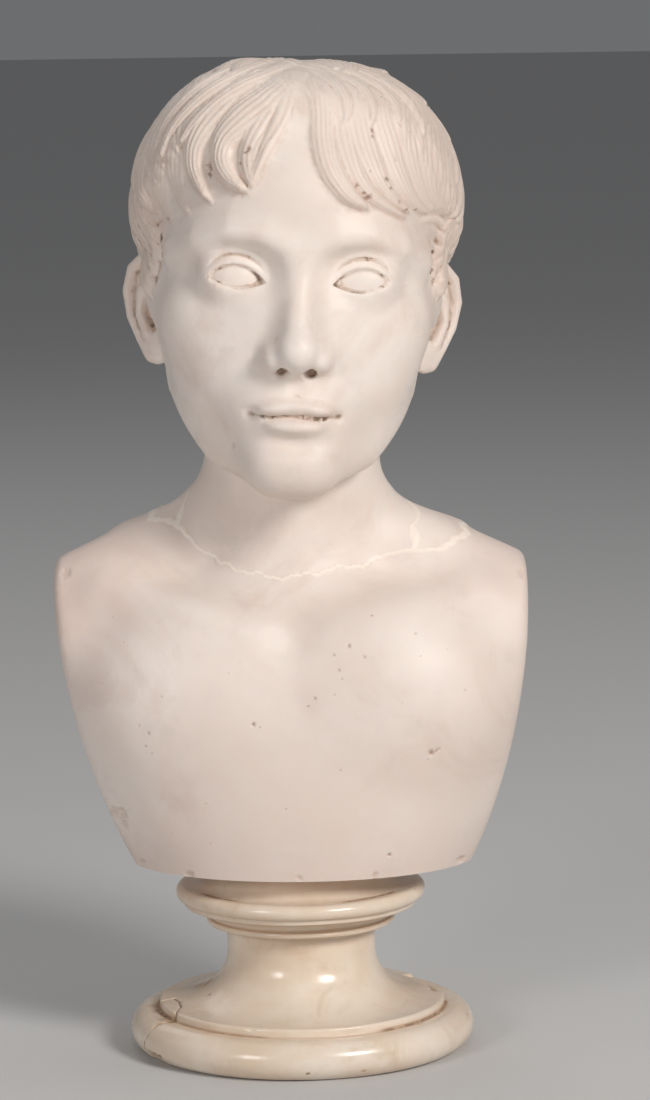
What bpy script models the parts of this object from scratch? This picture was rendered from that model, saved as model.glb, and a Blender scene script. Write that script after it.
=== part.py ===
"""Marble bust of a youth on its turned marble socle.

Metres, +Z up. The bust faces -Y, and the centre of the socle's underside is the origin.
"""

import math

import bmesh
import bpy
import numpy as np

# Bust
BUST_HEIGHT = 0.4285  # flat underside to the crown of the hair
SEAT_GAP = 0.0003

# Socle, from the floor up
FOOT_RADIUS = 0.0926
FOOT_HEIGHT = 0.0210
LEDGE_RADIUS = 0.0770
LEDGE_HEIGHT = 0.0045
HOLLOW_HEIGHT = 0.0265
NECK_RADIUS = 0.0400
NECK_HEIGHT = 0.0156
LOWER_FILLET_RADIUS = 0.0509
LOWER_FILLET_HEIGHT = 0.0033
UPPER_FILLET_RADIUS = 0.0629
UPPER_FILLET_HEIGHT = 0.0097
RIM_RADIUS = 0.0673
RIM_HEIGHT = 0.0081
SEAT_RADIUS = 0.0480
SEAT_HEIGHT = 0.0125
SOCLE_SIDES = 36

SOCLE_HEIGHT = (FOOT_HEIGHT + LEDGE_HEIGHT + HOLLOW_HEIGHT + NECK_HEIGHT + LOWER_FILLET_HEIGHT
                + UPPER_FILLET_HEIGHT + RIM_HEIGHT + SEAT_HEIGHT)

# The bust is drawn in points, 428 to its height, from the centre of its underside.
BUST_POINTS = 428.0
POINT = BUST_HEIGHT / BUST_POINTS
PIER_RADIUS = (SEAT_RADIUS - 0.003) / POINT

# Chest, in points
SHOULDER_LEVEL = 158.0
SHOULDER_HALF = 126.0
BASE_HALF = 92.5
OFFSET = 2.2
LEAN = -5.0
NECK_HALF = 46.5

# Head: 100 units to its height, from the middle of the eye line
HEAD_POINTS = 224.0
UNIT = HEAD_POINTS / 100
HEAD_CENTRE = np.array((2.0, 4.0, BUST_POINTS - HEAD_POINTS / 2 - 1.3))
HEAD_LEAN = math.radians(3.0)
HEAD_TURN = math.radians(2.0)
HEAD_NOD = math.radians(-1.0)

# Face, in head units
EYE = (14.4, -27.0, 0.0)
EYE_RADII = np.array((8.2, 6.3, 6.6))
LID = 0.85
EAR = (32.2, 4.0, -9.6)
EAR_SIZE = 0.93
EAR_FLARE = math.radians(44)
EAR_SLANT = math.radians(8)

# Hair, in head units and degrees
LOCK_HALF_WIDTH = 4.4
LOCK_HEIGHT = 1.05
LOCK_PITCH = 7.8
ROW_STEP = 15.0
NET_CELL = 2.2
BUST_TRIANGLES = 7560

MARBLE = (0.80, 0.73, 0.66)
YELLOW_MARBLE = (0.76, 0.66, 0.52)


# Distance helpers: each gives how far points lie outside a form, below zero inside it


def smooth_min(a, b, k):
    h = np.clip(0.5 + 0.5 * (b - a) / k, 0, 1)
    return b * (1 - h) + a * h - k * h * (1 - h)


def smooth_max(a, b, k):
    return -smooth_min(-a, -b, k)


def ramp(x):
    x = np.clip(x, 0, 1)
    return x * x * (3 - 2 * x)


def ellipsoid(p, centre, radii):
    q = (p - np.array(centre)) / np.array(radii)
    near = np.linalg.norm(q, axis=1)
    return near * (near - 1) / (np.linalg.norm(q / np.array(radii), axis=1) + 1e-9)


def tilted(p, centre, radii, axis, degrees):
    """An ellipsoid turned about one of the axes through its centre."""
    i, j = {"x": (1, 2), "y": (2, 0), "z": (0, 1)}[axis]
    c = math.cos(math.radians(degrees))
    s = math.sin(math.radians(degrees))
    q = p - np.array(centre)
    r = q.copy()
    r[:, i] = c * q[:, i] + s * q[:, j]
    r[:, j] = -s * q[:, i] + c * q[:, j]
    return ellipsoid(r, (0, 0, 0), radii)


def tube(p, *stations):
    """A tapered tube through stations of x, y, z and radius."""
    best = None
    for a, b in zip(stations, stations[1:]):
        start = np.array(a[:3])
        along = np.array(b[:3]) - start
        t = np.clip((p - start) @ along / (along @ along), 0, 1)
        d = np.linalg.norm(p - start - t[:, None] * along, axis=1) - (a[3] + t * (b[3] - a[3]))
        best = d if best is None else np.minimum(best, d)
    return best


def mirrored(q):
    """The places with left folded onto right, rounded at the middle so that no crease shows there."""
    m = q.copy()
    m[:, 0] = np.sqrt(m[:, 0] ** 2 + 0.3)
    return m


def turned(lean, turn, nod):
    """The rotation of something that leans to its side, turns on its neck and nods."""
    about_y = np.array(((math.cos(lean), 0, math.sin(lean)), (0, 1, 0), (-math.sin(lean), 0, math.cos(lean))))
    about_z = np.array(((math.cos(turn), -math.sin(turn), 0), (math.sin(turn), math.cos(turn), 0), (0, 0, 1)))
    about_x = np.array(((1, 0, 0), (0, math.cos(nod), -math.sin(nod)), (0, math.sin(nod), math.cos(nod))))
    return about_y @ about_z @ about_x


HEAD_AXES = turned(HEAD_LEAN, HEAD_TURN, HEAD_NOD)


def to_head(p):
    return (p - HEAD_CENTRE) @ HEAD_AXES / UNIT


def from_head(q):
    return (q * UNIT) @ HEAD_AXES.T + HEAD_CENTRE


# Head


def skull(m):
    d = ellipsoid(m, (0, 8.5, 13), (34.5, 40, 33.5))
    d = smooth_min(d, ellipsoid(m, (12, 8, 21), (20, 31, 24)), 8)
    return smooth_min(d, ellipsoid(m, (0, -8, 17), (29.5, 29.5, 25)), 8)


def face_mass(m):
    d = ellipsoid(m, (0, -9.5, -8), (28.5, 27, 30))
    d = smooth_min(d, ellipsoid(m, (0, -12, -25), (22, 22, 22)), 8)
    d = smooth_min(d, ellipsoid(m, (14.5, -15.5, -20), (12.5, 13, 15)), 9)
    jaw = tube(m, (27, 4, -6, 5.5), (22.5, -2, -26, 6.5), (14, -18, -38, 7), (4, -29, -42.5, 7))
    d = smooth_min(d, jaw, 7)
    d = smooth_min(d, tube(m, (22.5, -17.5, -9, 6.3), (28, 0, -5, 4.5)), 12)
    d = smooth_min(d, ellipsoid(m, (0, -26.5, -29), (14.5, 11, 11.5)), 6)
    return smooth_min(d, ellipsoid(m, (0, -30.8, -42), (8.8, 7.6, 7.6)), 6)


def brow(m, d):
    ridge = tube(m, (3.5, -34.3, 6.6, 1.6), (9, -34.6, 8.8, 1.8), (16, -32.3, 9.6, 1.9), (23, -26.8, 7.8, 2.0),
                 (28.5, -17.5, 4.5, 1.8))
    d = smooth_min(d, ridge, 7)
    return smooth_max(d, -tilted(m, (14.2, -37.6, 1.8), (9.6, 6.0, 5.4), "z", 12), 5)


def in_front(m):
    """One on the face, falling to nothing behind it."""
    return ramp((-24 - m[:, 1]) / 4)


def lid_edge(x, rise, skew):
    """Height of a lid's edge between the eye's inner and outer corners, crossing the other's outside them."""
    s = (x - 7.6) / 13.6
    return -1.0 + 0.9 * s + rise * np.sin(np.pi * np.clip(s, -0.08, 1.08) + skew * np.sin(2 * np.pi * np.clip(s, 0, 1)))


def eyes(m, d):
    ball = ellipsoid(m, EYE, EYE_RADII)
    lids = ellipsoid(m, EYE, EYE_RADII + LID)
    above = m[:, 2] - lid_edge(m[:, 0], 3.4, 0.12)
    below = lid_edge(m[:, 0], -2.1, 0.0) - m[:, 2]
    opening = smooth_max(above, below, 0.4)
    d = smooth_min(d, smooth_max(lids, -opening, 0.5), 2.8)
    fold = ramp(1 - np.abs(above - 2.3) / 0.9) * ramp((m[:, 0] - 7.5) / 3) * ramp((22 - m[:, 0]) / 3)
    d = d + 0.45 * fold * in_front(m)
    front = ellipsoid(m, (14.4, -33, 0), (9, 4.6, 5))
    d = smooth_max(d, -np.maximum(opening, front), 0.5)
    return np.minimum(d, ball)


def nose(m, d):
    bridge = tube(m, (0, -33.2, 7, 3.0), (0, -35.4, 0, 2.7), (0, -38.6, -8.5, 3.0), (0, -41.4, -15, 3.4))
    side = tube(m, (0, -31, 3, 4.0), (0, -33.6, -8, 5.2), (0, -35.6, -16, 6.0))
    d_nose = smooth_min(bridge, side, 3)
    d_nose = smooth_min(d_nose, ellipsoid(m, (0, -41.8, -16.4), (3.9, 3.8, 3.7)), 3.4)
    d_nose = smooth_min(d_nose, tilted(m, (5.4, -37.3, -17.8), (2.8, 4.5, 3.1), "x", 12), 2.4)
    d_nose = smooth_min(d_nose, tube(m, (0, -41.0, -19.0, 1.7), (0, -35.6, -20.6, 2.0)), 1.6)
    d = smooth_min(d, d_nose, 3.4)
    return smooth_max(d, -tilted(m, (3.2, -38.8, -20.8), (1.4, 2.6, 1.8), "z", -14), 0.8)


def mouth(m, d):
    upper = smooth_min(tilted(m, (3.6, -34.6, -29.6), (5.6, 2.9, 1.9), "y", 9), ellipsoid(m, (0, -34.9, -29.6), (3, 2.9, 1.8)), 1.5)
    lower = ellipsoid(m, (0, -34.2, -33.4), (7.4, 3.6, 2.5))
    d = smooth_min(d, smooth_min(upper, lower, 0.8), 2.6)
    x = m[:, 0]
    z = m[:, 2]
    part = 1.5 * ramp((10.4 - x) / 4.5) * ramp(1 - np.abs(z + 31.4 - 0.05 * x) / 1.2)
    corner = 0.8 * np.exp(-((x - 9.9)**2 + (z + 31)**2) / 2.2)
    hollow = 0.45 * ramp(1.3 - x / 2.2) * ramp((z + 28.4) / 2) * ramp((-21.8 - z) / 2)
    under = 1.1 * np.exp(-(x / 6.5)**2 - ((z + 38) / 2.1)**2)
    return d + (part + corner + hollow + under) * in_front(m)


def head(q):
    m = mirrored(q)
    d = smooth_min(skull(m), face_mass(m), 6)
    d = brow(m, d)
    d = nose(m, d)
    d = mouth(m, d)
    return eyes(m, d)


def ear(m):
    q = m - np.array(EAR)
    tip = np.array(((1, 0, 0), (0, math.cos(EAR_SLANT), math.sin(EAR_SLANT)),
                    (0, -math.sin(EAR_SLANT), math.cos(EAR_SLANT))))
    q = q @ tip / EAR_SIZE
    across = math.sin(EAR_FLARE) * q[:, 0] + math.cos(EAR_FLARE) * q[:, 1]
    out = math.cos(EAR_FLARE) * q[:, 0] - math.sin(EAR_FLARE) * q[:, 1]
    e = np.stack((across, q[:, 2], out), axis=1)
    plate = ellipsoid(e, (2.6, 1.8, -0.6), (7.6, 12, 1.9))
    d = smooth_min(plate, ellipsoid(e, (-0.6, -10, -0.4), (4.4, 4.6, 2.0)), 3)
    d = smooth_min(d, ellipsoid(e, (0.2, -0.5, -3.2), (4.8, 7.5, 4.0)), 3)
    rim = tube(e, (-3.5, 0.5, 0.6, 1.0), (-4.6, 5.5, 0.9, 1.3), (-2.2, 11.2, 1.0, 1.6), (3.6, 13.3, 0.9, 1.7),
               (8.6, 10.2, 0.8, 1.6), (10.3, 4.6, 0.7, 1.5), (8.8, -2, 0.6, 1.3), (5.2, -8, 0.4, 1.2),
               (1.6, -12.2, 0, 1.6))
    d = smooth_min(d, rim, 0.9)
    trough = tube(e, (-1.5, 8.6, 1.9, 1.1), (3.5, 10.4, 2.0, 1.2), (7, 7.2, 2.0, 1.1), (7.6, 1.5, 1.9, 0.9),
                  (5.8, -4.5, 1.8, 0.8))
    d = smooth_max(d, -trough, 0.8)
    d = smooth_max(d, -ellipsoid(e, (0.6, -1.2, 2.2), (4.4, 5.6, 3.4)), 0.9)
    fold = tube(e, (2, 8.2, 0.5, 1.0), (5.2, 4.2, 0.9, 1.2), (5.4, -1.5, 0.9, 1.2), (2.6, -6.6, 0.7, 1.3))
    d = smooth_min(d, fold, 1)
    d = smooth_min(d, tube(e, (0, 4.3, 0.2, 0.8), (3.8, 5, 0.7, 1.0)), 0.9)
    return smooth_min(d, ellipsoid(e, (-4.2, -1.8, 0.9), (1.9, 2.6, 1.7)), 1) * EAR_SIZE


# Neck and chest


def half_width(z):
    return SHOULDER_HALF - (SHOULDER_HALF - BASE_HALF) * np.clip(1 - z / SHOULDER_LEVEL, 0, 1.5) ** 1.9


def chest_front(z):
    t = np.clip(z / 150, 0, 1.2)
    return 70 + 7 * np.sin(np.pi * np.clip(t, 0, 1)) - 20 * t**3


def chest_back(z):
    return 4 + 46 * ramp((z - 10) / 110)


def torso(p):
    z = p[:, 2]
    x = p[:, 0] - OFFSET - LEAN * np.clip(z / SHOULDER_LEVEL, 0, 1.2)
    wide = half_width(z) + 0.5 + 24 * np.clip(z / 120, 0, 1)
    y = p[:, 1] - 6
    deep = np.where(y < 0, chest_front(z), chest_back(z))
    ring = np.sqrt((x / wide) ** 2 + (y / deep) ** 2) + 1e-9
    d = (ring - 1) * np.sqrt(x * x + y * y) / ring
    d = smooth_max(d, z - 150, 40)
    m = np.stack((np.sqrt(x * x + 90), p[:, 1], z), axis=1)
    d = smooth_min(d, tube(m, (44, 14, 176, 23), (112, 10, 128, 38)), 16)
    d = smooth_min(d, tube(m, (20, 36, 222, 14), (43, 29, 176, 14), (82, 24, 165, 16)), 8)
    d = smooth_min(d, tilted(m, (50, -30, 96), (58, 38, 50), "y", 8), 20)
    d = smooth_min(d, tube(m, (12, -46, 119, 4.5), (52, -42.5, 131, 5), (98, -21, 145, 6)), 18)
    neck = tube(p, (OFFSET + LEAN, 20, 130, NECK_HALF + 8), (OFFSET + LEAN, 16, 178, NECK_HALF),
                (-1, 10, 215, NECK_HALF), (2, 8, 290, NECK_HALF + 1))
    d = smooth_min(d, neck, 20)
    d = smooth_min(d, tube(m, (8, 34, 160, 34), (9, 40, 215, 29), (10, 56, 285, 30)), 12)
    d = smooth_max(d, -ellipsoid(p, (OFFSET + LEAN, -67, 133), (9, 9, 9)), 14)
    d = smooth_max(d, np.abs(x) - half_width(z), 5)
    pier = np.maximum(np.hypot(p[:, 0], p[:, 1]) - PIER_RADIUS, z - 110)
    return smooth_min(d, pier, 14)


def body(p):
    """Chest, neck and head, before ears and hair."""
    return smooth_min(torso(p), head(to_head(p)) * UNIT, 9)


# Hair: a mass over the skull, and locks that lie on it. A place on the scalp is given by its turn round the
# crown from the front and its fall from the crown, in degrees.

SCALP_CENTRE = np.array((0.0, 5.0, 10.0))
CROWN = np.array((-0.02, 0.45, 0.89)) / math.sqrt(0.02**2 + 0.45**2 + 0.89**2)
FORWARD = np.array((0.0, -1.0, 0.0)) + CROWN * CROWN[1]
FORWARD = FORWARD / np.linalg.norm(FORWARD)
ACROSS = np.cross(CROWN, FORWARD)

# Where the hair ends: turn, fall
HAIRLINE = ((0, 81), (20, 83), (42, 88), (56, 93), (68, 99), (76, 111), (84, 121), (90, 117), (95, 103), (110, 103),
            (124, 112), (140, 118), (160, 120), (180, 120))

# Locks seen from the front: height, grooves, then x, z and half width along the line
FRONT_LOCKS = (
    (2.0, 5, (-2, 46.5, 3.4), (-8, 41.5, 4.8), (-13.4, 36.8, 4.6), (-17.7, 31.8, 3.5), (-18.7, 27.7, 2.9),
     (-18, 24.3, 2.5), (-15.8, 21.6, 1.9), (-12.2, 19.8, 0.8)),
    (1.35, 3, (-3.6, 43.5, 1.8), (-8.2, 38.4, 2.6), (-11, 33, 3.0), (-12.4, 28, 2.7), (-12.2, 24, 2.0), (-11.5, 20.8, 0.7)),
    (1.45, 1, (-3.2, 44, 1.6), (-4.8, 39, 2.2), (-6.6, 33.8, 2.3), (-8.5, 29.3, 2.0), (-10.3, 24.8, 1.5), (-12.1, 20, 0.7)),
    (1.8, 5, (-10, 46.5, 3.4), (-17, 41, 4.1), (-22, 35.8, 4.0), (-24.7, 30.5, 3.3), (-25, 26, 2.8), (-23.8, 21.6, 2.1),
     (-20.6, 16.9, 0.7)),
    (1.9, 5, (3.4, 45, 3.0), (4.2, 38, 3.3), (4.4, 31.8, 3.4), (5.6, 26.8, 3.3), (7.9, 22.6, 2.9), (10.8, 19.3, 2.2),
     (15.2, 16.5, 0.6)),
    (1.35, 3, (7.4, 44.5, 2.6), (8.6, 37, 3.0), (9.6, 31, 3.1), (11.2, 26, 2.8), (13.6, 22, 2.3), (16.8, 18.9, 1.7),
     (20.3, 16.7, 1.2), (24.2, 14.4, 0.4)),
    (1.25, 4, (11.4, 43.5, 3.0), (12.8, 37, 3.6), (14.2, 31, 3.9), (16.3, 26, 3.3), (18.6, 21.8, 2.5), (21.2, 18.6, 1.7),
     (25, 15.8, 0.4)),
    (1.05, 4, (16.6, 43, 3.0), (18.2, 36.5, 3.4), (19.9, 31, 3.6), (21.8, 26, 3.3), (24, 21.4, 2.7), (26.4, 18, 1.9),
     (29.6, 15.6, 0.5)),
    (0.85, 4, (20.6, 41, 3.0), (22.8, 34.5, 3.4), (24.6, 28.5, 3.4), (26.4, 23.5, 3.1), (28.3, 19.4, 2.5), (31, 16, 0.9)),
    (0.75, 4, (25, 37.5, 2.8), (27, 31.5, 3.2), (28.8, 26, 3.2), (30.4, 21, 2.7), (32.4, 16, 1.1)),
    (0.65, 3, (28.8, 33.5, 2.6), (30.6, 28.5, 2.9), (32, 23, 2.8), (33.3, 18.5, 2.1), (34.4, 15.4, 1)),
    (0.7, 4, (-23.5, 39, 3.0), (-27.4, 34, 3.4), (-29, 29, 3.3), (-29.2, 23.5, 3.0), (-27.8, 18, 2.2), (-25.4, 13.6, 0.7)),
    (0.6, 4, (-28.5, 35, 2.6), (-31.4, 30, 3.1), (-32.4, 24, 2.9), (-32, 18, 2.5), (-30.4, 13, 1.8), (-28.6, 9.5, 0.6)),
    (2.0, 4, (-2, 49.4, 2.4), (-9, 46.2, 3.0), (-15, 42.6, 3.0), (-20.5, 38.2, 2.6), (-25, 33.5, 1.9), (-27.7, 29, 0.5)),
    (1.8, 4, (-6, 50, 2.4), (-13.5, 47, 3.0), (-20.5, 42.4, 3.0), (-26, 37.2, 2.6), (-30, 31.5, 1.9), (-32, 25.5, 0.5)),
    (1.5, 3, (-11, 50, 2.2), (-19, 46, 2.7), (-26, 40.4, 2.6), (-31, 34, 2.0), (-33.6, 27, 0.6)),
    (1.1, 3, (0.6, 48.6, 2), (4.8, 46.4, 2.4), (7.8, 43.6, 2.3), (9.4, 40.6, 1.9), (9.4, 37.4, 1.2), (8.4, 35, 0.4)),
    (1.05, 3, (3.8, 48.8, 2), (8.8, 46.8, 2.4), (12.8, 44.2, 2.3), (15, 41.3, 1.9), (15.6, 38, 1.2), (15, 35.6, 0.4)),
    (1.0, 3, (8.5, 48.6, 2), (14.4, 46.2, 2.4), (18.6, 43.2, 2.3), (21, 40, 1.9), (21.8, 36, 0.6)),
    (0.9, 3, (14, 47.4, 2), (20, 44.6, 2.4), (24.2, 41, 2.3), (26.6, 37.2, 1.8), (27.6, 33, 0.6)),
    (0.5, 1, (27.5, 13.4, 0.6), (30.4, 14.2, 0.9), (33, 13.4, 0.9), (34.2, 11.4, 0.5)),
    (0.5, 1, (29.4, 10.6, 0.6), (31.6, 11.4, 0.9), (33.4, 10, 0.9), (33.8, 7.8, 0.5)),
    (0.5, 1, (29.8, 7.4, 0.6), (31.6, 8, 0.9), (32.6, 6, 0.9), (32.4, 3.6, 0.5)),
    (0.5, 1, (30, 4, 0.6), (31.6, 3.6, 0.8), (32, 1.4, 0.8), (31.2, -1, 0.4)),
    (0.5, 1, (-28.6, 12, 0.6), (-30.8, 11.4, 0.9), (-32.2, 9, 0.9), (-32, 6, 0.5)),
    (0.5, 1, (-29.8, 7.8, 0.6), (-31.2, 6.2, 0.9), (-31.8, 3.6, 0.8), (-31, 1, 0.4)),
)


def hair_edge(turn):
    table = np.array(HAIRLINE, float)
    return np.interp(np.abs(turn), table[:, 0], table[:, 1])


def hair_mass(q):
    """Thickness of the hair under its locks."""
    v = q - SCALP_CENTRE
    v = v / (np.linalg.norm(v, axis=1, keepdims=True) + 1e-9)
    turn = np.degrees(np.arctan2(v @ ACROSS, v @ FORWARD))
    fall = np.degrees(np.arccos(np.clip(v @ CROWN, -1, 1)))
    around = np.abs(turn)
    depth = 2.5 + 1.2 * ramp((fall - 25) / 55) - 1.8 * ramp((around - 120) / 60) * ramp((fall - 80) / 30)
    depth = depth - 2.3 * ramp((fall - 88) / 16) * ramp((116 - around) / 20) * ramp((around - 50) / 15)
    front = ramp((74 - around) / 26)
    return depth * ramp((hair_edge(turn) + 1 + 5 * front - fall) / (7 + 11 * front))


def capped(q):
    return body(from_head(q)) / UNIT - hair_mass(q)


def on_scalp(turn, fall):
    """The place on the hair's mass this far round and down from the crown."""
    turn = np.radians(turn)
    fall = np.radians(fall)
    level = np.cos(turn)[:, None] * FORWARD + np.sin(turn)[:, None] * ACROSS
    way = np.cos(fall)[:, None] * CROWN + np.sin(fall)[:, None] * level
    low = np.full(len(turn), 20.0)
    high = np.full(len(turn), 62.0)
    for _ in range(16):
        mid = (low + high) / 2
        inside = capped(SCALP_CENTRE + way * mid[:, None]) < 0
        low = np.where(inside, mid, low)
        high = np.where(inside, high, mid)
    return SCALP_CENTRE + way * low[:, None]


def on_front(x, z):
    """The place on the hair's mass straight behind one in the front view."""
    front = np.full(len(x), -60.0)
    back = np.full(len(x), 5.0)
    for _ in range(16):
        mid = (front + back) / 2
        inside = capped(np.stack((x, mid, z), axis=1)) < 0
        front = np.where(inside, front, mid)
        back = np.where(inside, mid, back)
    return np.stack((x, back, z), axis=1)


def curve_through(points, count):
    points = np.array(points, float)
    t = np.linspace(0, len(points) - 1, count)
    i = np.clip(t.astype(int), 0, len(points) - 2)
    f = (t - i)[:, None]
    before = points[np.maximum(i - 1, 0)]
    a = points[i]
    b = points[i + 1]
    after = points[np.minimum(i + 2, len(points) - 1)]
    bend = (2 * before - 5 * a + 4 * b - after) * f**2 + (3 * a - before - 3 * b + after) * f**3
    return a + 0.5 * ((b - before) * f + bend)


def scalp_locks():
    """Rows of locks combed out from the crown, each as its turns, falls, half width and height."""
    dice = np.random.default_rng(5)
    rows = []
    fall = 9.0
    while fall < 112:
        count = round(2 * math.pi * math.sin(math.radians(fall)) * 38 / LOCK_PITCH)
        for k in range(count):
            turn = (360 * (k + 0.5 * (len(rows) % 2) + dice.uniform(-0.2, 0.2)) / count) % 360 - 180
            side = 1 if turn >= 0 else -1
            tip = min(fall + dice.uniform(24, 31), float(hair_edge(turn)) + 2)
            size = dice.uniform(0.85, 1.1)
            curl = dice.uniform(0.4, 1.1)
            if tip - fall < 8 or (abs(turn) < 66 and tip > 56):
                continue
            sweep = -side * curl * (7 if 45 < abs(turn) < 125 else 4) / max(math.sin(math.radians(fall + 8)), 0.3)
            s = np.linspace(0, 1, 11)
            turns = turn + sweep * (s**2 - 0.35 * np.sin(np.pi * s))
            falls = fall - 4 + (tip - fall + 4) * s
            low = 0.6 if 60 < abs(turn) < 100 and tip > 98 else 1.0
            rows.append((turns, falls, LOCK_HALF_WIDTH * size * low, LOCK_HEIGHT * size * low))
        fall += ROW_STEP
    return rows


def all_locks():
    """Every lock as its line on the hair's mass, its half widths, height and grooves."""
    rows = scalp_locks()
    length = len(rows[0][0])
    taper = (0.75 + 0.25 * ramp(np.linspace(0, 4, length))) * np.clip(1.02 - np.linspace(0, 1, length)**3.2, 0, 1)**0.8
    places = on_scalp(np.concatenate([r[0] for r in rows]), np.concatenate([r[1] for r in rows]))
    locks = [(places[i * length:(i + 1) * length], r[2] * taper, r[3], 4) for i, r in enumerate(rows)]
    for height, grooves, *stations in FRONT_LOCKS:
        line = curve_through(stations, 17)
        locks.append((on_front(line[:, 0], line[:, 1]), line[:, 2], height, grooves))
    return locks


def lock_relief(q, locks):
    """How far the locks stand out of the hair's mass."""
    rise = np.zeros(len(q))
    out = q - SCALP_CENTRE
    out = out / (np.linalg.norm(out, axis=1, keepdims=True) + 1e-9)
    for line, half, height, _ in locks:
        low = line.min(axis=0) - half.max() - 2.5
        high = line.max(axis=0) + half.max() + 2.5
        near = np.flatnonzero(((q > low) & (q < high)).all(axis=1))
        nearest = np.full(len(near), 1e9)
        place = np.zeros(len(near))
        wide = np.ones(len(near))
        steps = len(line) - 1
        for i in range(steps):
            along = line[i + 1] - line[i]
            v = q[near] - line[i]
            t = np.clip((v @ along) / (along @ along), 0, 1)
            v = v - t[:, None] * along
            v = v - (v * out[near]).sum(axis=1)[:, None] * out[near]
            d = np.linalg.norm(v, axis=1)
            place = np.where(d < nearest, (i + t) / steps, place)
            wide = np.where(d < nearest, half[i] + t * (half[i + 1] - half[i]), wide)
            nearest = np.minimum(nearest, d)
        dome = np.clip(1 - (nearest / np.maximum(wide, 0.05)) ** 2.3, 0, 1) ** 0.8
        lift = height * dome * (0.2 + 0.8 * ramp(place * 2.2)) * ramp((1.03 - place) * 9)
        rise[near] = np.maximum(rise[near], lift)
    return rise


def bust(p, locks):
    d = body(p)
    near = np.flatnonzero((p[:, 2] > HEAD_CENTRE[2] - HEAD_POINTS * 0.55) & (np.abs(d) < 30))
    q = to_head(p[near])
    hair = d[near] - (hair_mass(q) + lock_relief(q, locks)) * UNIT
    d[near] = smooth_min(hair, ear(mirrored(q)) * UNIT, 2)
    return d


# Surface: a closed net of four-sided faces round the cells that the form's surface crosses


def field_on_grid(form, low, cell, size):
    """The form on every grid point: exact near the surface, read from a grid four times coarser elsewhere."""
    coarse = [n // 4 + 2 for n in size]
    axes = [low[i] + 4 * cell * np.arange(coarse[i]) for i in range(3)]
    value = form(np.stack(np.meshgrid(*axes, indexing="ij"), -1).reshape(-1, 3)).reshape(coarse)
    for axis in range(3):
        place = np.arange(size[axis]) / 4
        base = np.minimum(place.astype(int), coarse[axis] - 2)
        shape = [1, 1, 1]
        shape[axis] = -1
        part = (place - base).reshape(shape)
        value = np.take(value, base, axis) * (1 - part) + np.take(value, base + 1, axis) * part
    close = np.abs(value) < 6.4 * cell
    value[close] = form(low + np.argwhere(close) * cell)
    return value


def opened(value, cell):
    """The grid's values with corners filled where the surface would otherwise touch itself."""
    fill = -0.05 * cell
    whole = slice(None)
    for _ in range(6):
        inside = value < 0
        changed = False
        for u, v in ((0, 1), (1, 2), (0, 2)):
            pick = []
            for first in (slice(None, -1), slice(1, None)):
                for second in (slice(None, -1), slice(1, None)):
                    place = [whole, whole, whole]
                    place[u] = first
                    place[v] = second
                    pick.append(tuple(place))
            a, b, c, d = (inside[place] for place in pick)
            for bad, corner in ((a & d & ~b & ~c, pick[1]), (~a & ~d & b & c, pick[0])):
                part = value[corner]
                part[bad] = fill
                changed = changed or bad.any()
        if not changed:
            break
    return value


def net_points(value, low, cell):
    """One point for each crossed cell, and the cell's number in the list."""
    inside = value < 0
    count = sum(inside[a:a - 1 or None, b:b - 1 or None, c:c - 1 or None].astype(int)
                for a in (0, 1) for b in (0, 1) for c in (0, 1))
    live = (count > 0) & (count < 8)
    cells = np.argwhere(live)
    number = np.full(live.shape, -1)
    number[live] = np.arange(len(cells))
    total = np.zeros((len(cells), 3))
    hits = np.zeros(len(cells))
    for axis in range(3):
        u, v = [i for i in range(3) if i != axis]
        for corner in ((0, 0), (0, 1), (1, 0), (1, 1)):
            start = cells.copy()
            start[:, u] += corner[0]
            start[:, v] += corner[1]
            end = start.copy()
            end[:, axis] += 1
            a = value[tuple(start.T)]
            b = value[tuple(end.T)]
            crossed = (a < 0) != (b < 0)
            place = low + start * cell
            place[:, axis] += cell * np.where(crossed, a / np.where(crossed, a - b, 1), 0)
            total += place * crossed[:, None]
            hits += crossed
    return total / hits[:, None], number


def net_faces(value, number):
    inside = value < 0
    faces = []
    for axis, u, v in ((0, 1, 2), (1, 2, 0), (2, 0, 1)):
        change = np.diff(inside, axis=axis)
        edge = np.argwhere(change)
        edge = edge[(edge[:, u] > 0) & (edge[:, v] > 0)]
        corners = []
        for back in ((1, 1), (0, 1), (0, 0), (1, 0)):
            cell = edge.copy()
            cell[:, u] -= back[0]
            cell[:, v] -= back[1]
            corners.append(number[tuple(cell.T)])
        face = np.stack(corners, axis=1)
        outward = inside[tuple(edge.T)]
        faces.append(np.where(outward[:, None], face, face[:, ::-1]))
    return np.concatenate(faces)


def settled(form, points, cell):
    """The points moved onto the form's surface, none by more than half a cell at a time."""
    for _ in range(2):
        d = form(points)
        slope = np.empty_like(points)
        for axis in range(3):
            step = np.zeros(3)
            step[axis] = 0.1
            slope[:, axis] = (form(points + step) - form(points - step)) / 0.2
        size = np.maximum(np.linalg.norm(slope, axis=1), 0.7)
        points = points - (np.clip(d / size, -cell / 2, cell / 2) / size)[:, None] * slope
    return points


def net(form, low, high, cell):
    low = np.array(low, float)
    size = np.ceil((np.array(high) - low) / cell).astype(int) + 1
    value = opened(field_on_grid(form, low, cell, size), cell)
    points, number = net_points(value, low, cell)
    return settled(form, points, cell), net_faces(value, number)


# Objects


def clear_scene():
    for obj in list(bpy.data.objects):
        bpy.data.objects.remove(obj)


def marble(name, colour, roughness):
    material = bpy.data.materials.new(name)
    material.use_nodes = True
    shader = material.node_tree.nodes["Principled BSDF"]
    shader.inputs["Base Color"].default_value = (*colour, 1)
    shader.inputs["Roughness"].default_value = roughness
    return material


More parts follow.
